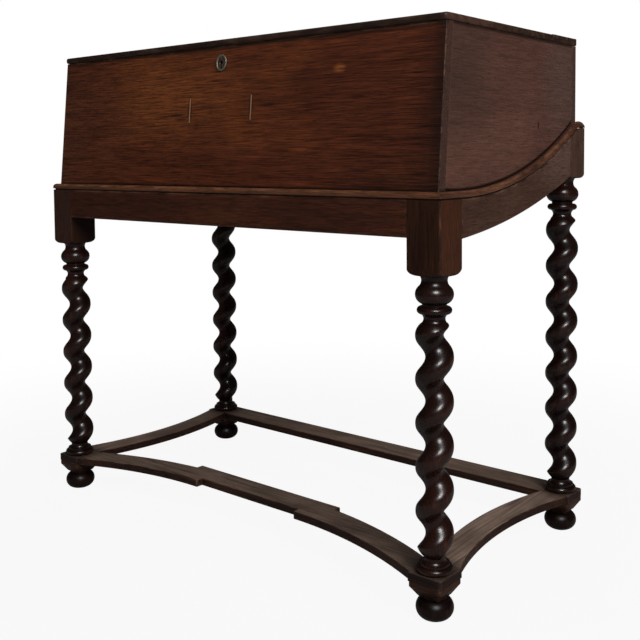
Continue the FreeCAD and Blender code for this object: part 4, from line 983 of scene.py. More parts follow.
@dataclass(frozen=True)
class Stand:
    """The open stand: legs, feet, rails, mouldings and stretchers."""

    half_width: float = 403.0
    half_depth: float = 205.0
    stock: float = 50.0
    rail_thick: float = 22.0
    rail_depth: float = 47.5
    side_rail_front: float = 50.0
    side_rail_back: float = 58.0
    side_rail_bow: float = 11.0
    front_block_low: float = 438.0
    back_block_low: float = 550.5
    stretcher_top: float = 60.0
    stretcher_thick: float = 12.0
    stretcher_width: float = 43.0
    stretcher_edge: float = 1.2
    front_middle: float = 106.0
    front_back_middle: float = 152.0
    front_bow: float = 70.0
    front_step: float = 11.5
    side_bow: float = 26.0
    ear: float = 3.5
    front_pad_corner: float = 3.0
    back_pad_corner: float = 4.5
    body: str = "stand"

    @property
    def leg_x(self) -> float:
        """Distance of the legs' axes from the middle, across the stand."""
        return self.half_width - self.stock / 2

    @property
    def leg_y(self) -> float:
        """Distance of the legs' axes from the middle, from front to back."""
        return self.half_depth - self.stock / 2

    @property
    def inner_x(self) -> float:
        """Distance of the blocks' inner faces from the middle, across the stand."""
        return self.half_width - self.stock

    @property
    def inner_y(self) -> float:
        """Distance of the blocks' inner faces from the middle, from front to back."""
        return self.half_depth - self.stock

    def build(self) -> None:
        """Makes every piece of the stand."""
        self.legs_and_feet()
        self.rails()
        self.mouldings()
        self.stretchers()

    def legs_and_feet(self) -> None:
        """The four legs and the bun feet under them."""
        twists = {"front_left": -97.0, "front_right": -156.0, "back_left": -141.0, "back_right": -135.0}
        for number, (place, degrees) in enumerate(twists.items()):
            end, side = place.split("_")
            x, y = self.leg_x * dict(SIDES)[side], self.leg_y * dict(ENDS)[end]
            low = self.front_block_low if end == "front" else self.back_block_low
            leg = Leg(f"leg_{place}", x, y, low, degrees)
            turned = TURNED_OAK.material(leg.node, Grain.ALONG_Z, 1.0 + number)
            piece = publish(leg.node, [leg.block(), leg.shaft()], turned, self.body)
            sawn = BLOCK_OAK if end == "front" else SIDE_RAIL_OAK
            marks = [StainAndShade((math.copysign(self.half_width, x), y, low + 50), (5, 120, 160), "#3b2014", 0.7)]
            if place == "front_left":
                marks.append(StainAndShade((x, -self.half_depth, low + 50), (70, 6, 120), "#35211a", 0.8))
            if end == "back":
                marks = [StainAndShade((math.copysign(self.half_width, x), y, low + 50), (5, 120, 160), "#503a30", 0.25)]
            self.second_finish(piece, sawn.material(leg.node, Grain.ALONG_Z, 21.0 + number, marks), low + 2.0)
            self.foot(f"foot_{place}", x, y, 31.0 + number)

    @staticmethod
    def second_finish(piece: bpy.types.Object, material: bpy.types.Material, level: float) -> None:
        """Gives the faces whose middles lie above a level another finish.

        Args:
            piece: the piece.
            material: the other finish.
            level: height of the change.
        """
        piece.data.materials.append(material)
        centres = np.empty(len(piece.data.polygons) * 3, np.float32)
        piece.data.polygons.foreach_get("center", centres)
        above = centres.reshape(-1, 3)[:, 2] > level * MM
        piece.data.polygons.foreach_set("material_index", above.astype(np.int32))

    def foot(self, node: str, x: float, y: float, seed: float) -> None:
        """A bun foot: a ball of swelling radius under a bevelled square cap.

        Args:
            node: the CAD node.
            x: place of its axis.
            y: place of its axis.
            seed: where in the timber it was cut.
        """
        angle = np.linspace(0, 2 * math.pi, 72, endpoint=False)
        eased = (1 - np.cos(math.pi * np.linspace(0, 1, 22))) / 2
        tall, neck, half = 27.0, 15.5, 24.5
        z = tall * eased
        level = np.concatenate([[0.0], z + 0.4 * (1 - eased), [28.5, 30.5]])
        radius = np.concatenate([[14.6], swell(z, (0, neck), (tall, neck), 9.0), [15.0, 15.0]])
        ball = column(radius[:, None] * np.ones(len(angle)), level, (x, y), angle,
                      np.clip((radius[:, None] - 22) / 2.5, 0, 1) * np.ones(len(angle)))
        square = rounded_square(half, 3.0)
        heights = np.array([28.6, 29.0, 40.2, 41.0, 41.8, 47.2, 47.8, 48.0])
        size = np.array([15.2, 15.9, 23.5, 24.2, half, half, 24.2, 23.7]) / half
        flat = square.points * size[:, None, None] + (x, y)
        rings = np.concatenate([flat, np.broadcast_to(heights[:, None, None], (*flat.shape[:2], 1))], axis=2)
        rim = np.array([0, 0, 0.3, 1, 0.3, 0.3, 0, 0])[:, None]
        cap = sheath(rings, np.maximum(rim, square.wear[None, :] * (size[:, None] > 0.6)))
        piece = publish(node, [ball, cap], FOOT_OAK.material(node, Grain.ALONG_Z, seed), self.body)
        self.second_finish(piece, CAP_OAK.material(node, Grain.ALONG_X, seed), heights[0])

    def rails(self) -> None:
        """Front and back rails, and the two side rails under the hollow seat."""
        bottoms = {"front": SEAT.height - self.rail_depth, "back": SEAT.height + SEAT.rise - self.rail_depth}
        for number, (end, way) in enumerate(ENDS):
            near, far = sorted((way * self.half_depth, way * (self.half_depth - self.rail_thick)))
            low, high = bottoms[end], bottoms[end] + self.rail_depth - SEAT_GAP
            shape = outline([(near, low), (far, low), (far, high), (near, high)], 1.0)
            skin = prism(shape, -self.inner_x, self.inner_x, Plane.YZ, 0.15, 0.15)
            publish(f"rail_{end}", [skin], RAIL_OAK.material(f"rail_{end}", Grain.ALONG_X, 41.0 + number), self.body)
        back_low = float(SEAT.at(np.array([self.inner_y]))[0]) - self.side_rail_back
        first, last = (-self.inner_y, SEAT.height - self.side_rail_front), (self.inner_y, back_low)
        radius = bow(math.dist(first, last), self.side_rail_bow)
        lower = arc(first, last, radius, 1, 40)
        upper = SEAT.stretch(self.inner_y, -self.inner_y, -SEAT_GAP)
        corners = np.concatenate([lower, upper])
        radii = np.zeros(len(corners))
        radii[[0, len(lower) - 1, len(lower), -1]] = 0.6
        for number, (side, way) in enumerate(SIDES):
            low, high = sorted((way * self.half_width, way * (self.half_width - self.rail_thick)))
            skin = prism(outline(corners, radii), low, high, Plane.YZ, 0.9, 0.9)
            # Lighter and greyer towards the back: painted sheen of glare on the side rail.
            back_sheen = StainAndShade((way * self.half_width, 120, 600), (30, 110, 90), "#57433a", 0.5)
            finish = SIDE_RAIL_OAK.material(f"rail_{side}", Grain.ALONG_Y, 45.0 + number, [back_sheen])
            publish(f"rail_{side}", [skin], finish, self.body)

    def mould_section(self) -> tuple[Array, Array]:
        """The moulding's section as depth behind the outer face and height above the seat.

        A quarter oval of 4.6 by 5.2 lies over a short upright and a quirk. Behind it are a groove, a fillet and
        a wider groove along the box, both darkened with dirt and painted shade; the quirk is darkened with painted
        shade too.

        Returns:
            Points, and the wear at each.
        """
        turn = np.linspace(0, math.pi / 2, 9)
        round_over = np.stack([4.6 - 4.6 * np.sin(turn), 4.8 + 5.2 * np.cos(turn)], axis=1)
        behind = np.array([(2.6, 0.0), (7.7, 0.0), (8.2, 0.4), (8.2, 7.6), (6.95, 7.6), (6.8, 8.8), (6.6, 9.2),
                           (6.1, 9.2), (5.9, 8.8), (5.75, 8.2), (4.75, 8.2)])
        points = np.concatenate([behind, round_over, [(0.0, 2.6), (0.5, 1.9), (2.6, 1.7)]])
        # Wear below nought marks the grooves and the quirk, darkened with dirt and painted shade.
        wear = np.concatenate([[-1, 0, 0, -1, -1, 0.2, 0.7, 0.7, 0.2, -1, -1], 0.35 + 0.5 * np.sin(2 * turn),
                               [0.2, 0.0, -0.6]])
        return points, wear

    def mouldings(self) -> None:
        """The mitred mouldings: one section carried along the front and along the hollow of each side.

        A point at depth n and height t lies at the path's point plus its upward normal times t, n behind the
        outer face. The ends at the front corners run on to the mitre, where the distance from the corner is n.
        Over the last 12 mm at the back the height falls to a quarter along an oval.
        """
        section, worn = self.mould_section()
        depth, rise = section[:, 0], section[:, 1]
        stations = np.concatenate([[-1.0], np.linspace(-0.97, 0.97, 40), [1.0]])
        along = stations[:, None] * (self.half_width - depth[None, :])
        rings = np.stack([along, np.broadcast_to(depth - self.half_depth, along.shape),
                          np.broadcast_to(SEAT.height + rise, along.shape)], axis=2)
        self.moulding("front", rings, worn, Grain.ALONG_X, 51.0)
        path, normals = SEAT.line()
        flat = np.stack([np.linspace(-self.half_depth + 12, -self.half_depth + SEAT.flat_front - 5, 6),
                         np.full(6, SEAT.height)], axis=1)
        tail = np.stack([np.linspace(self.half_depth - 12, self.half_depth - 0.3, 10),
                         np.full(10, SEAT.height + SEAT.rise)], axis=1)
        path = np.concatenate([path[:1], flat, path[1:-1], tail, path[-1:]])
        level = np.array([[0.0, 1.0]])
        normals = np.concatenate([normals[:1], np.repeat(level, 6, 0), normals[1:-1], np.repeat(level, 10, 0), level])
        near_end = np.clip((path[:, 0] - self.half_depth + 12) / 12, 0, 1)
        lowered = 0.25 + 0.75 * np.sqrt(1 - near_end ** 2)
        place = path[:, None, :] + normals[:, None, :] * (lowered[:, None] * rise)[:, :, None]
        place[0, :, 0] = depth - self.half_depth
        for number, (side, way) in enumerate(SIDES):
            across = np.broadcast_to(way * (self.half_width - depth), place.shape[:2])
            rings = np.concatenate([across[:, :, None], place], axis=2)
            self.moulding(side, rings, worn, Grain.ALONG_Y, 52.0 + number)

    def moulding(self, name: str, rings: Array, worn: Array, grain: Grain, seed: float) -> None:
        """One strip of moulding.

        Args:
            name: its side of the stand.
            rings: points by station and section.
            worn: wear along the section.
            grain: the way its fibres run.
            seed: where in the timber it was cut.
        """
        skin = sheath(rings, np.broadcast_to(worn, rings.shape[:2]))
        finish = FRONT_MOULDING_OAK if name == "front" else MOULDING_OAK
        publish(f"moulding_{name}", [skin], finish.material(f"moulding_{name}", grain, seed), self.body)

    def stretchers(self) -> None:
        """The four flat stretchers, each in two layers that halve over one another at the corners."""
        top, low = self.stretcher_top, self.stretcher_top - self.stretcher_thick
        lap = (top + low) / 2
        front_full, front_short = self.front_outlines()
        side_full, side_short = self.side_outlines()
        back_full = outline(self.rectangle(self.half_width, self.inner_y, self.half_depth),
                            (1.2, 1.2, self.back_pad_corner, self.back_pad_corner))
        back_short = outline(self.rectangle(self.inner_x, self.inner_y, self.half_depth), 0.3)
        layers = {
            "front": (front_short, front_full, Grain.ALONG_X), "back": (back_short, back_full, Grain.ALONG_X),
            "left": (side_full["left"], side_short["left"], Grain.ALONG_Y),
            "right": (side_full["right"], side_short["right"], Grain.ALONG_Y),
        }
        # The stretchers are darkened round the legs.
        grime = [StainAndShade((x * self.leg_x, y * self.leg_y, top), (48, 48, 60), "#0e0605", 0.95)
                 for _, x in SIDES for _, y in ENDS]
        for number, (name, (lower, upper, grain)) in enumerate(layers.items()):
            skins = [prism(lower, low, lap, Plane.XY, self.stretcher_edge, 0.0, 0.2),
                     prism(upper, lap, top, Plane.XY, 0.0, self.stretcher_edge, 0.2)]
            finish = STRETCHER_OAK if grain is Grain.ALONG_X else SIDE_STRETCHER_OAK
            material = finish.material(f"stretcher_{name}", grain, 61.0 + number, grime)
            publish(f"stretcher_{name}", skins, material, self.body)

    @staticmethod
    def rectangle(half: float, low: float, high: float) -> Array:
        """Corners of a board across the stand, anticlockwise."""
        return np.array([(-half, low), (half, low), (half, high), (-half, high)])

    def front_outlines(self) -> tuple[Outline, Outline]:
        """The front stretcher's plan with and without its corner pads.

        From each pad's ear an arc runs to the end of the middle, level there, where the edge steps back. The
        back edge follows with its own arc, and the left half mirrors the right.

        Returns:
            The whole outline, and the one between the pads.
        """
        front, bow_depth, step = -self.half_depth, self.front_bow, self.front_step
        ear, back_ear = front + self.ear, front + self.stock - self.ear
        run, rise = self.inner_x - self.front_middle, bow_depth - step - self.ear
        radius = (run ** 2 + rise ** 2) / (2 * rise)
        back = front + bow_depth + self.stretcher_width
        hollow = arc((self.front_middle, front + bow_depth - step), (self.inner_x, ear), radius, -1)
        behind = arc((self.inner_x, back_ear), (self.front_back_middle, back - step),
                     radius + self.stretcher_width, 1)
        middle = [(self.front_middle, front + bow_depth)]
        pad = [(self.inner_x, front), (self.half_width, front), (self.half_width, front + self.stock),
               (self.inner_x, front + self.stock)]
        back_middle = [(self.front_back_middle, back)]

        def whole(end: list) -> Outline:
            """The outline with the given points at each end.

            Args:
                end: points of the right-hand end.

            Returns:
                The outline.
            """
            parts = [middle, hollow, end, behind, back_middle] if end else [middle, hollow, behind, back_middle]
            marks = [np.full(len(part), 1.2) if len(part) < 5 else np.r_[1.2, np.zeros(len(part) - 2), 1.2]
                     for part in parts]
            if end:
                marks[2][1] = self.front_pad_corner
            right, sharp = np.concatenate(parts), np.concatenate(marks)
            corners, radii = [right, right[::-1] * (-1, 1)], [sharp, sharp[::-1]]
            return outline(np.concatenate(corners), np.concatenate(radii), fade=3.0)

        return whole(pad), whole([])

    def side_outlines(self) -> tuple[dict[str, Outline], dict[str, Outline]]:
        """The side stretchers' plans with and without their corner pads, hollow on the outer edge.

        Returns:
            Whole outlines and short ones, by side.
        """
        outer, inner = self.half_width - self.ear, self.inner_x + self.ear
        radius = bow(2 * self.inner_y, self.side_bow)
        hollow = arc((outer, -self.inner_y), (outer, self.inner_y), radius, -1)
        belly = arc((inner, self.inner_y), (inner, -self.inner_y), radius + self.stretcher_width, 1)
        back_pad = [(self.half_width, self.inner_y), (self.half_width, self.half_depth),
                    (self.inner_x, self.half_depth), (self.inner_x, self.inner_y)]
        front_pad = [(self.inner_x, -self.inner_y), (self.inner_x, -self.half_depth),
                     (self.half_width, -self.half_depth), (self.half_width, -self.inner_y)]
        ends = np.r_[0.8, np.zeros(len(hollow) - 2), 0.8]
        back_marks, front_marks = (0.8, self.back_pad_corner, 0.8, 0.8), (0.8, 0.8, self.front_pad_corner, 0.8)
        full, short = {}, {}
        for side, way in SIDES:
            for found, parts, marks in (
                    (full, [hollow, back_pad, belly, front_pad], [ends, back_marks, ends, front_marks]),
                    (short, [hollow, belly], [ends, ends])):
                corners = np.concatenate(parts) * (way, 1)
                found[side] = outline(corners[::way], np.concatenate(marks)[::way], fade=3.0)
        return full, short


@dataclass(frozen=True)
class Carcase:
    """The box: leaning front, ends, back, fixed hinge rail and the slips in the front."""

    half: float = 394.2
    board: float = 14.5
    front_y: float = -196.2
    lean: float = 20.4
    low: float = 532.0
    top: float = 752.0
    back_y: float = 190.3
    rest: float = 627.5
    lid_half: float = 395.2
    rail_front: float = 111.6
    rail_thick: float = 11.0
    key_z: float = 727.0
    lock_y: float = -166.8
    lock_half: float = 32.1
    lock_low: float = 711.6
    slip_x: float = 65.5
    slip_low: float = 639.5
    slip_high: float = 676.5
    body: str = "box"

    def face_y(self, z: Any) -> Any:
        """Depth of the leaning front face at a height, or at each of many."""
        return self.front_y + self.lean * (z - self.low) / (self.top - self.low)

    def build(self) -> None:
        """Makes the boards and the slips."""
        self.front()
        self.ends()
        self.back()
        self.hinge_rail()
        self.slips()

    def front(self) -> None:
        """The leaning front with its keyhole, lock housing and slots."""
        shape = outline([(self.front_y, self.low), (self.front_y + self.board, self.low),
                         (self.front_y + self.board + self.lean, self.top), (self.front_y + self.lean, self.top)],
                        (1.4, 0.4, 0.4, 1.2))
        shape.rubbed = (shape.points[:, 0] - self.face_y(shape.points[:, 1]) < 6).astype(float)
        edge = np.where(shape.rubbed > 0, 0.9, 0.3)
        skin = prism(shape, -self.half, self.half, Plane.YZ, edge, edge, fade=1.5)
        # In order: amber field and top, knot, dark ends and low right, dull left, small dark flecks, end grain,
        # painted shade along the moulding and under the lid, and painted shade in the gaps round the slips.
        stains_and_shade = (
            StainAndShade((-120, -180, 680), (220, 60, 100), "#6b3a1a", 0.6),
            StainAndShade((130, -176, 742), (200, 60, 20), "#5c2e15", 0.3),
            StainAndShade((228, -180, 704), (13, 30, 8), "#8a4f24", 0.8),
            StainAndShade((394, -180, 640), (60, 60, 170), "#1f0d07", 0.7),
            StainAndShade((330, -190, 545), (160, 60, 60), "#1f0d07", 0.6),
            StainAndShade((-394, -190, 600), (60, 60, 190), "#33190e", 0.4),
            StainAndShade((-400, -190, 640), (240, 60, 240), "#43261b", 0.4),
            StainAndShade((160, -180, 690), (45, 60, 26), "#2a1209", 0.5),
            StainAndShade((-95, -180, 652), (26, 40, 4), "#1c0d09", 0.8),
            StainAndShade((-88, -180, 645), (16, 40, 3), "#1c0d09", 0.8),
            StainAndShade((100, -180, 660), (26, 40, 4), "#1c0d09", 0.6),
            StainAndShade((250, -180, 650), (170, 60, 90), "#38170a", 0.5),
            StainAndShade((394, -180, 640), (20, 60, 300), "#190a06", 0.6),
            StainAndShade((395.4, -180, 640), (3, 300, 900), "#3b2a24", 0.95),
            StainAndShade((-395.4, -180, 640), (3, 300, 900), "#3b2a24", 0.95),
            # Painted shade: dark lines along the moulding and under the lid, and round the slips.
            StainAndShade((0, -196, 542), (900, 60, 4), SHADOW_LINE, 0.9),
            StainAndShade((0, -177, 751), (900, 8, 6), SHADOW_LINE, 0.9),
            StainAndShade((-self.slip_x, -185, 658), (6, 30, 26), "#1d0d07", 0.8),
            StainAndShade((self.slip_x, -185, 658), (6, 30, 26), "#1d0d07", 0.8),
        )
        finish = FRONT_OAK.material("front", Grain.ALONG_X, 2.0, stains_and_shade)
        housing = box_skin((-self.lock_half, self.lock_y, self.lock_low),
                           (self.lock_half, self.lock_y + 30, self.top + 20))
        cutters = [housing, self.keyhole()]
        cutters += [self.slip_skin(way * self.slip_x, 1.25, 3.0, 4.0) for _, way in SIDES]
        publish("front_board", [skin], finish, self.body, inside=self.inner_front, cutters=cutters)

    def inner_front(self, points: Array) -> Array:
        """Points on the front's inner face."""
        face = self.face_y(points[:, 2]) + self.board
        return (np.abs(points[:, 1] - face) < FACE_NEAR).astype(float)

    def keyhole(self) -> Skin:
        """A keyhole's shape carried through the front: the larger radius of a circle and a slot below it."""
        angle = KeyPlate.angles()
        radius = KeyPlate.hole(angle, *KEYHOLE)
        ring = np.stack([radius * np.cos(angle), self.key_z + radius * np.sin(angle)], axis=1)
        return prism(Outline.plain(ring), -210, self.lock_y + 1, Plane.XZ, 0.0, 0.0)

    def slip_skin(self, x: float, half: float, proud: float, deep: float, edge: float = 0.0) -> Skin:
        """A slip's block: the leaning face's line between two heights, carried across its width.

        Args:
            x: its middle.
            half: half its width.
            proud: how far it stands out of the face.
            deep: how far it goes in.
            edge: radius of its arrises.

        Returns:
            The skin.
        """
        low, high = self.slip_low, self.slip_high
        first, last = self.face_y(low), self.face_y(high)
        corners = np.array([(first - proud, low), (first + deep, low), (last + deep, high), (last - proud, high)])
        shape = outline(corners, edge, fade=1.0) if edge else Outline.plain(corners)
        return prism(shape, x - half, x + half, Plane.YZ, edge, edge, fade=0.5)

    def slips(self) -> None:
        """The two pale slips, flush in their slots."""
        for number, (side, way) in enumerate(SIDES):
            publish(f"front_slip_{side}", [self.slip_skin(way * self.slip_x, 1.2, 0.1, 3.95, 0.2)],
                    PALE_SLIP.material(f"slip_{side}", Grain.ALONG_Z, 5.0 + number), self.body)

    def ends(self) -> None:
        """The two ends, hollow below to follow the seat."""
        inner_back = self.back_y - self.board
        lower = SEAT.stretch(self.front_y + self.board + 0.05, inner_back, 0.3)
        upper = np.array([(inner_back, self.top), (self.front_y + self.board + self.lean, self.top)])
        radii = np.zeros(len(lower) + 2)
        radii[[0, len(lower) - 1, -2, -1]] = 0.7
        shape = outline(np.concatenate([lower, upper]), radii)
        shape.rubbed = (shape.points[:, 1] > self.top - 6) * 0.6
        for number, (side, way) in enumerate(SIDES):
            low, high = sorted((way * self.half, way * (self.half - self.board)))
            stains_and_shade = (StainAndShade((way * 394, 66.5, 628.5), (6, 2.4, 8), "#1c0705", 1.0),
                      # Greyer towards the back, as painted sheen of glare on the side, and darker towards the front.
                      StainAndShade((way * 394, 150, 700), (40, 90, 120), "#473731", 0.6),
                      StainAndShade((way * 394, -140, 700), (40, 110, 140), "#35251f", 0.7),
                      # Painted shade along the moulding's line and under the lid.
                      StainAndShade((way * 394, -190, 543), (30, 50, 4), SHADOW_LINE, 0.9),
                      StainAndShade((way * 395, 0, 751), (8, 600, 4), SHADOW_LINE, 0.8),
                      StainAndShade((way * 394, *SEAT.hollow_centre), (900, 3.6, 3.6), SHADOW_LINE, 0.95,
                            SEAT.hollow_radius - 11))
            publish(f"side_board_{side}", [prism(shape, low, high, Plane.YZ, 0.4, 0.4)],
                    GLARE_GREY_OAK.material(f"end_{side}", Grain.ALONG_Y, 7.0 + number, stains_and_shade), self.body,
                    inside=near_face(0, way * (self.half - self.board)))

    def back(self) -> None:
        """The back board on the back rail."""
        inner = self.back_y - self.board
        shape = outline([(inner, self.rest), (self.back_y, self.rest), (self.back_y, self.top), (inner, self.top)], 1.0)
        ends = [StainAndShade((way * 396, 183, 690), (7, 300, 900), "#3c2b25", 0.95) for _, way in SIDES]
        publish("back_board", [prism(shape, -self.half, self.half, Plane.YZ, 1.0, 1.0)],
                GLARE_GREY_OAK.material("back", Grain.ALONG_X, 10.0, ends), self.body,
                inside=near_face(1, inner))

    def hinge_rail(self) -> None:
        """The fixed rail behind the lid, with seats for the hinges."""
        shape = outline([(-self.lid_half, self.rail_front), (self.lid_half, self.rail_front),
                         (self.lid_half, self.back_y), (-self.lid_half, self.back_y)], 1.2)
        publish("hinge_rail", [prism(shape, self.top, self.top + self.rail_thick, Plane.XY, 2.4, 1.2)],
                LID_OAK.material("hinge_rail", Grain.ALONG_X, 12.0), self.body,
                cutters=Lid.hinge_seats(1))


@dataclass(frozen=True)
class Lid:
    """The lid: a front board with a rounded nose and the main board behind it."""

    half: float = 395.2
    front_y: float = -178.7
    joint_y: float = -65.7
    back_y: float = 110.8
    low: float = 752.3
    high: float = 762.0
    hinge_x: ClassVar[float] = 250.0
    hinge_half: ClassVar[float] = 25.2
    leaf_low: ClassVar[float] = 753.7
    pin_y: ClassVar[float] = 111.2
    pin_z: ClassVar[float] = 763.2
    knuckle: ClassVar[float] = 2.9
    above: ClassVar[float] = 770.0
    staple_low: tuple[float, float, float] = (2.9, -166.9, 750.0)
    staple_high: tuple[float, float, float] = (27.1, -155.1, 753.9)
    body: str = "lid"

    @classmethod
    def hinge_seats(cls, way: int) -> list[Skin]:
        """Cutters for the hinges' leaves and knuckles in a board's edge; way is the board's side of the axis."""
        found = []
        near, far = sorted((cls.pin_y - way * 3.0, cls.pin_y + way * 1.5))
        for _, side in SIDES:
            first, last = side * cls.hinge_x - cls.hinge_half, side * cls.hinge_x + cls.hinge_half
            found += [box_skin((first, near, cls.leaf_low), (last, far, cls.above)),
                      rod_skin(first, last, cls.pin_y, cls.pin_z, cls.knuckle)]
        return found

    def build(self) -> None:
        """Makes both boards."""
        corners = [(-self.half, self.front_y), (self.half, self.front_y), (self.half, self.joint_y),
                   (-self.half, self.joint_y)]
        shape = outline(corners, (4.2, 4.2, 0.8, 0.8))
        depths = [self.front_y + 0.5, self.front_y + 6, self.joint_y - 3, self.joint_y]
        edge = np.interp(shape.points[:, 1], depths, [3.6, 1.1, 1.1, 0.5])
        under = np.interp(shape.points[:, 1], depths, [3.6, 3.0, 3.0, 2.4])
        ends = [StainAndShade((way * 396, -122, 757), (14, 150, 30), "#3f2a21", 0.8) for _, way in SIDES]
        publish("lid_front_board", [prism(shape, self.low, self.high, Plane.XY, under, edge)],
                LID_OAK.material("lid_front", Grain.ALONG_X, 14.0, ends), self.body, inside=self.underside,
                cutters=[box_skin(self.staple_low, self.staple_high)])
        shape = outline([(-self.half, self.joint_y), (self.half, self.joint_y), (self.half, self.back_y),
                         (-self.half, self.back_y)], 0.8)
        publish("lid_main_board", [prism(shape, self.low, self.high, Plane.XY, 2.6, 0.9)],
                LID_OAK.material("lid_main", Grain.ALONG_X, 16.0), self.body, inside=self.underside,
                cutters=self.hinge_seats(-1))

    def underside(self, points: Array) -> Array:
        """Points on the lid's unwaxed underside."""
        return (points[:, 2] < self.low + FACE_NEAR).astype(float)


@dataclass(frozen=True)
class KeyPlate:
    """The oval key plate with its raised rim, leaning with the front."""

    half_wide: float = 11.2
    half_tall: float = 12.6
    field: float = 1.2
    rim_wide: float = 3.0
    rim_tall: float = 0.9

    @staticmethod
    def angles() -> Array:
        """Angles round the plate, closer together beside the keyhole's slot."""
        return np.unique(np.round(np.concatenate([
            np.linspace(-math.pi, math.pi, 97)[:-1], np.radians(np.linspace(-112, -68, 45))]), 6))

    @staticmethod
    def hole(angle: Array, radius: float, half: float, drop: float) -> Array:
        """A keyhole's edge as a radius about its round: the larger of the round and the slot below it.

        Args:
            angle: angles.
            radius: the round's radius.
            half: half the slot's width.
            drop: the slot's depth below the round's centre.

        Returns:
            A radius for each angle.
        """
        side = half / np.maximum(np.abs(np.cos(angle)), 1e-6)
        foot = drop / np.maximum(-np.sin(angle), 1e-6)
        return np.maximum(radius, np.where(np.sin(angle) < 0, np.minimum(side, foot), 0))

    def build(self, box: Carcase) -> None:
        """Makes the plate: rings from the keyhole's edge out over the field and the half-round rim.

        The rim's rings lie at the oval's radius less the rim's width times (1 + cos t)/2, raised above the
        field by the rim's height times sin t.

        Args:
            box: the carcase that it is pinned to.
        """
        angle = self.angles()
        oval = 1 / np.sqrt((np.cos(angle) / self.half_wide) ** 2 + (np.sin(angle) / self.half_tall) ** 2)
        hole = self.hole(angle, *KEYHOLE)
        turn = np.linspace(0, math.pi, 11)[:, None]
        rim = oval - self.rim_wide * (1 + np.cos(turn)) / 2
        radius = np.concatenate([[hole, hole, hole + 0.3], rim, [oval]])
        raise_by = np.concatenate([[0.05, self.field - 0.3, self.field],
                                   self.field + self.rim_tall * np.sin(turn[:, 0]), [0.05]])
        raise_by[-2] = 0.7
        tilt = math.atan(box.lean / (box.top - box.low))
        across, up = radius * np.cos(angle), radius * np.sin(angle)
        out = np.broadcast_to(raise_by[:, None], radius.shape)
        rings = np.stack([across, box.face_y(box.key_z) + up * math.sin(tilt) - out * math.cos(tilt),
                          box.key_z + up * math.cos(tilt) + out * math.sin(tilt)], axis=2)
        rows, columns = radius.shape
        wear = np.zeros(radius.shape)
        wear[2:4], wear[4:13] = 0.2, 0.6
        index = np.arange(columns) + (rows - 1) * columns
        close = np.stack([index, np.roll(index, -1), np.roll(np.arange(columns), -1), np.arange(columns)], axis=1)
        skin = Skin(rings.reshape(-1, 3), quads(rows, columns) + close.tolist(), wear.reshape(-1)).outward()
        publish("key_plate", [skin], OLD_IRON.material(), box.body)


class Ironwork:
    """CAD pieces that keep their shape: nails, screws, hinges, lock and bottom staves."""

    IRON = ("front_nails", "back_nails", "hinge_rail_nails", "key_plate_pins", "lock_case", "lock_screws",
            "lock_bolt", "lock_staple", "staple_screws", "hinge_box_screws", "hinge_lid_screws")

    def build(self) -> None:
        """Gives each kept CAD piece its finish."""
        iron = OLD_IRON.material()
        names = list(self.IRON)
        names += [f"hinge_{side}_{part}" for side, _ in SIDES for part in ("box_leaf", "lid_leaf", "pin")]
        for name in names:
            self.dress(name, iron)
        for number in range(1, 6):
            self.dress(f"bottom_stave_{number}", RAW_OAK.material(f"stave_{number}", Grain.ALONG_X, 70.0 + number))

    @staticmethod
    def dress(name: str, material: bpy.types.Material) -> None:
        """Puts a finish on a CAD node.

        Args:
            name: the node.
            material: its finish.
        """
        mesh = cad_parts[name].data
        mesh.materials.clear()
        mesh.materials.append(material)
        LOG.info("%s: kept from the CAD part", name)


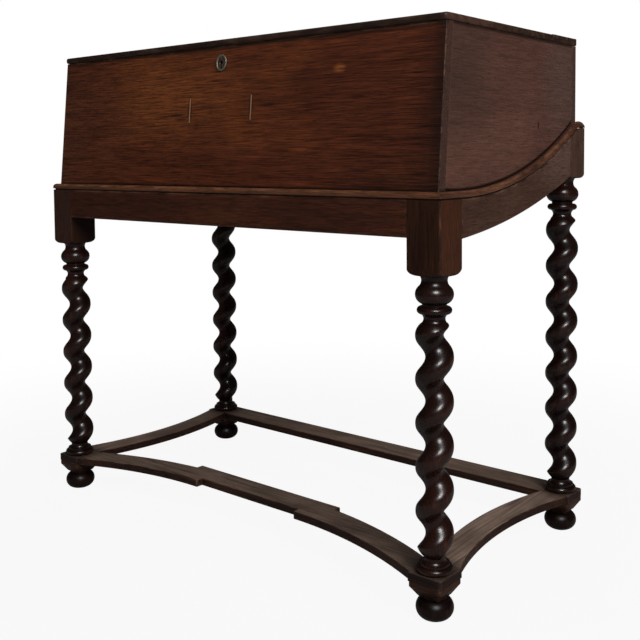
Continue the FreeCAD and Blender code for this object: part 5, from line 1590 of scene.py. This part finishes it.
@dataclass(frozen=True)
class Studio:
    """Pale floor, soft lamps and the camera at the photograph's place."""

    eye: tuple[float, float, float] = (999.98, -1131.12, 585.28)
    azimuth: float = 39.128
    pitch: float = 3.2
    roll: float = -0.401
    focal_pixels: float = 911.05
    centre_pixels: tuple[float, float] = (339.574, 208.0)
    frame_pixels: float = 640.0
    sensor: float = 36.0
    floor_reach: float = 2.6
    floor_points: int = 96
    aim: ClassVar[Vector] = Vector((0, 0, 0.42))

    def build(self) -> None:
        """Makes the floor, world, lamps and camera."""
        bpy.context.scene.view_settings.view_transform = "Standard"
        self.floor()
        self.world()
        self.lamp("key", (2.7, -1.0, 2.0), 1.1, 108.0)
        self.lamp("fill", (-1.8, -2.9, 1.6), 2.2, 34.0)
        self.lamp("back", (-1.2, 2.6, 2.2), 2.0, 40.0)
        self.lamp("glint", (1.85, -1.65, 2.1), 0.9, 95.0, glint=True)
        self.camera()

    def floor(self) -> None:
        """A pale disc that fades into the white ground away from the object."""
        angle = np.linspace(0, 2 * math.pi, self.floor_points, endpoint=False)
        rim = self.floor_reach * np.stack([np.cos(angle), np.sin(angle), np.zeros(self.floor_points)], axis=1)
        mesh = bpy.data.meshes.new("floor")
        mesh.from_pydata(rim.tolist(), [], [list(range(self.floor_points))])
        disc = bpy.data.objects.new("floor", mesh)
        bpy.context.scene.collection.objects.link(disc)
        material, tree = new_material("pale_floor")
        spot = add_node(tree, "TexCoord").outputs["Object"]
        away = add_node(tree, "VectorMath", {0: spot}, operation="LENGTH").outputs["Value"]
        far = add_node(tree, "MapRange", {"Value": away, "From Min": 0.45, "From Max": 1.5, "To Min": 0.92},
                       interpolation_type="SMOOTHSTEP")
        seen = add_node(tree, "LightPath").outputs["Is Camera Ray"]
        share = add_node(tree, "Math", {0: far.outputs["Result"], 1: seen}, operation="MULTIPLY").outputs[0]
        matt = add_node(tree, "BsdfDiffuse", {"Color": linear("#949190")})
        white = add_node(tree, "Emission", {"Color": WHITE, "Strength": 1.0})
        mixed = add_node(tree, "MixShader", {0: share, 1: matt.outputs[0], 2: white.outputs[0]})
        add_node(tree, "OutputMaterial", {"Surface": mixed.outputs[0]})
        mesh.materials.append(material)

    def world(self) -> None:
        """White where the camera looks past the floor, and a soft even light otherwise.

        Glossy rays see only a little of the white, because the waxed oak mirrors the dim side of the room.
        """
        world = bpy.data.worlds.new("studio")
        bpy.context.scene.world = world
        world.use_nodes = True
        tree = world.node_tree
        tree.nodes.clear()
        path = add_node(tree, "LightPath").outputs
        seen = add_node(tree, "Math", {0: path["Is Camera Ray"], 1: path["Is Transmission Ray"]}, operation="MAXIMUM")
        faint = add_node(tree, "Math", {0: path["Is Glossy Ray"], 1: 0.02}, operation="MULTIPLY")
        share = add_node(tree, "Math", {0: seen.outputs[0], 1: faint.outputs[0]}, operation="MAXIMUM").outputs[0]
        level = add_node(tree, "MapRange", {"Value": path["Is Glossy Ray"], "To Min": 0.15, "To Max": 0.02})
        soft = add_node(tree, "Background", {"Color": linear("#fdfbf8"), "Strength": level.outputs["Result"]})
        white = add_node(tree, "Background", {"Color": WHITE, "Strength": 1.0})
        mixed = add_node(tree, "MixShader", {0: share, 1: soft.outputs[0], 2: white.outputs[0]})
        add_node(tree, "OutputWorld", {"Surface": mixed.outputs[0]})

    def lamp(self, name: str, place: tuple[float, float, float], size: float, power: float,
             glint: bool = False) -> None:
        """A square soft lamp aimed at the middle of the object.

        Args:
            name: its name.
            place: where it stands, in metres.
            size: its side, in metres.
            power: its power, in watts.
            glint: whether it makes only the highlights on polished faces, or all light but those.
        """
        light = bpy.data.lights.new(name, "AREA")
        light.size, light.energy = size, power
        lamp = bpy.data.objects.new(name, light)
        lamp.location, lamp.visible_glossy, lamp.visible_diffuse = place, glint, not glint
        lamp.rotation_euler = (self.aim - Vector(place)).to_track_quat("-Z", "Y").to_euler()
        bpy.context.scene.collection.objects.link(lamp)

    def camera(self) -> None:
        """The camera: turned by azimuth about the upright, tilted by pitch and rolled about its own axis."""
        turn, tilt, roll = (math.radians(v) for v in (self.azimuth, self.pitch, self.roll))
        back, right = np.array([math.sin(turn), -math.cos(turn), 0]), np.array([math.cos(turn), math.sin(turn), 0])
        up = np.array([0, 0, 1.0])
        ahead = -back * math.cos(tilt) - up * math.sin(tilt)
        over = up * math.cos(tilt) - back * math.sin(tilt)
        right, over = right * math.cos(roll) + over * math.sin(roll), over * math.cos(roll) - right * math.sin(roll)
        data = bpy.data.cameras.new("camera")
        data.sensor_width = self.sensor
        data.lens = self.focal_pixels * self.sensor / self.frame_pixels
        data.shift_x = (self.frame_pixels / 2 - self.centre_pixels[0]) / self.frame_pixels
        data.shift_y = (self.centre_pixels[1] - self.frame_pixels / 2) / self.frame_pixels
        data.clip_end = 50
        camera = bpy.data.objects.new("camera", data)
        basis = np.eye(4)
        basis[:3, 0], basis[:3, 1], basis[:3, 2], basis[:3, 3] = right, over, -ahead, np.array(self.eye) * MM
        camera.matrix_world = Matrix(basis.tolist())
        bpy.context.scene.collection.objects.link(camera)
        bpy.context.scene.camera = camera


def main() -> None:
    """Builds and dresses every piece."""
    logging.basicConfig(level=logging.INFO, format="%(name)s: %(message)s")
    Studio().build()
    Stand().build()
    box = Carcase()
    box.build()
    Lid().build()
    KeyPlate().build(box)
    Ironwork().build()


if __name__ == "__main__":
    main()
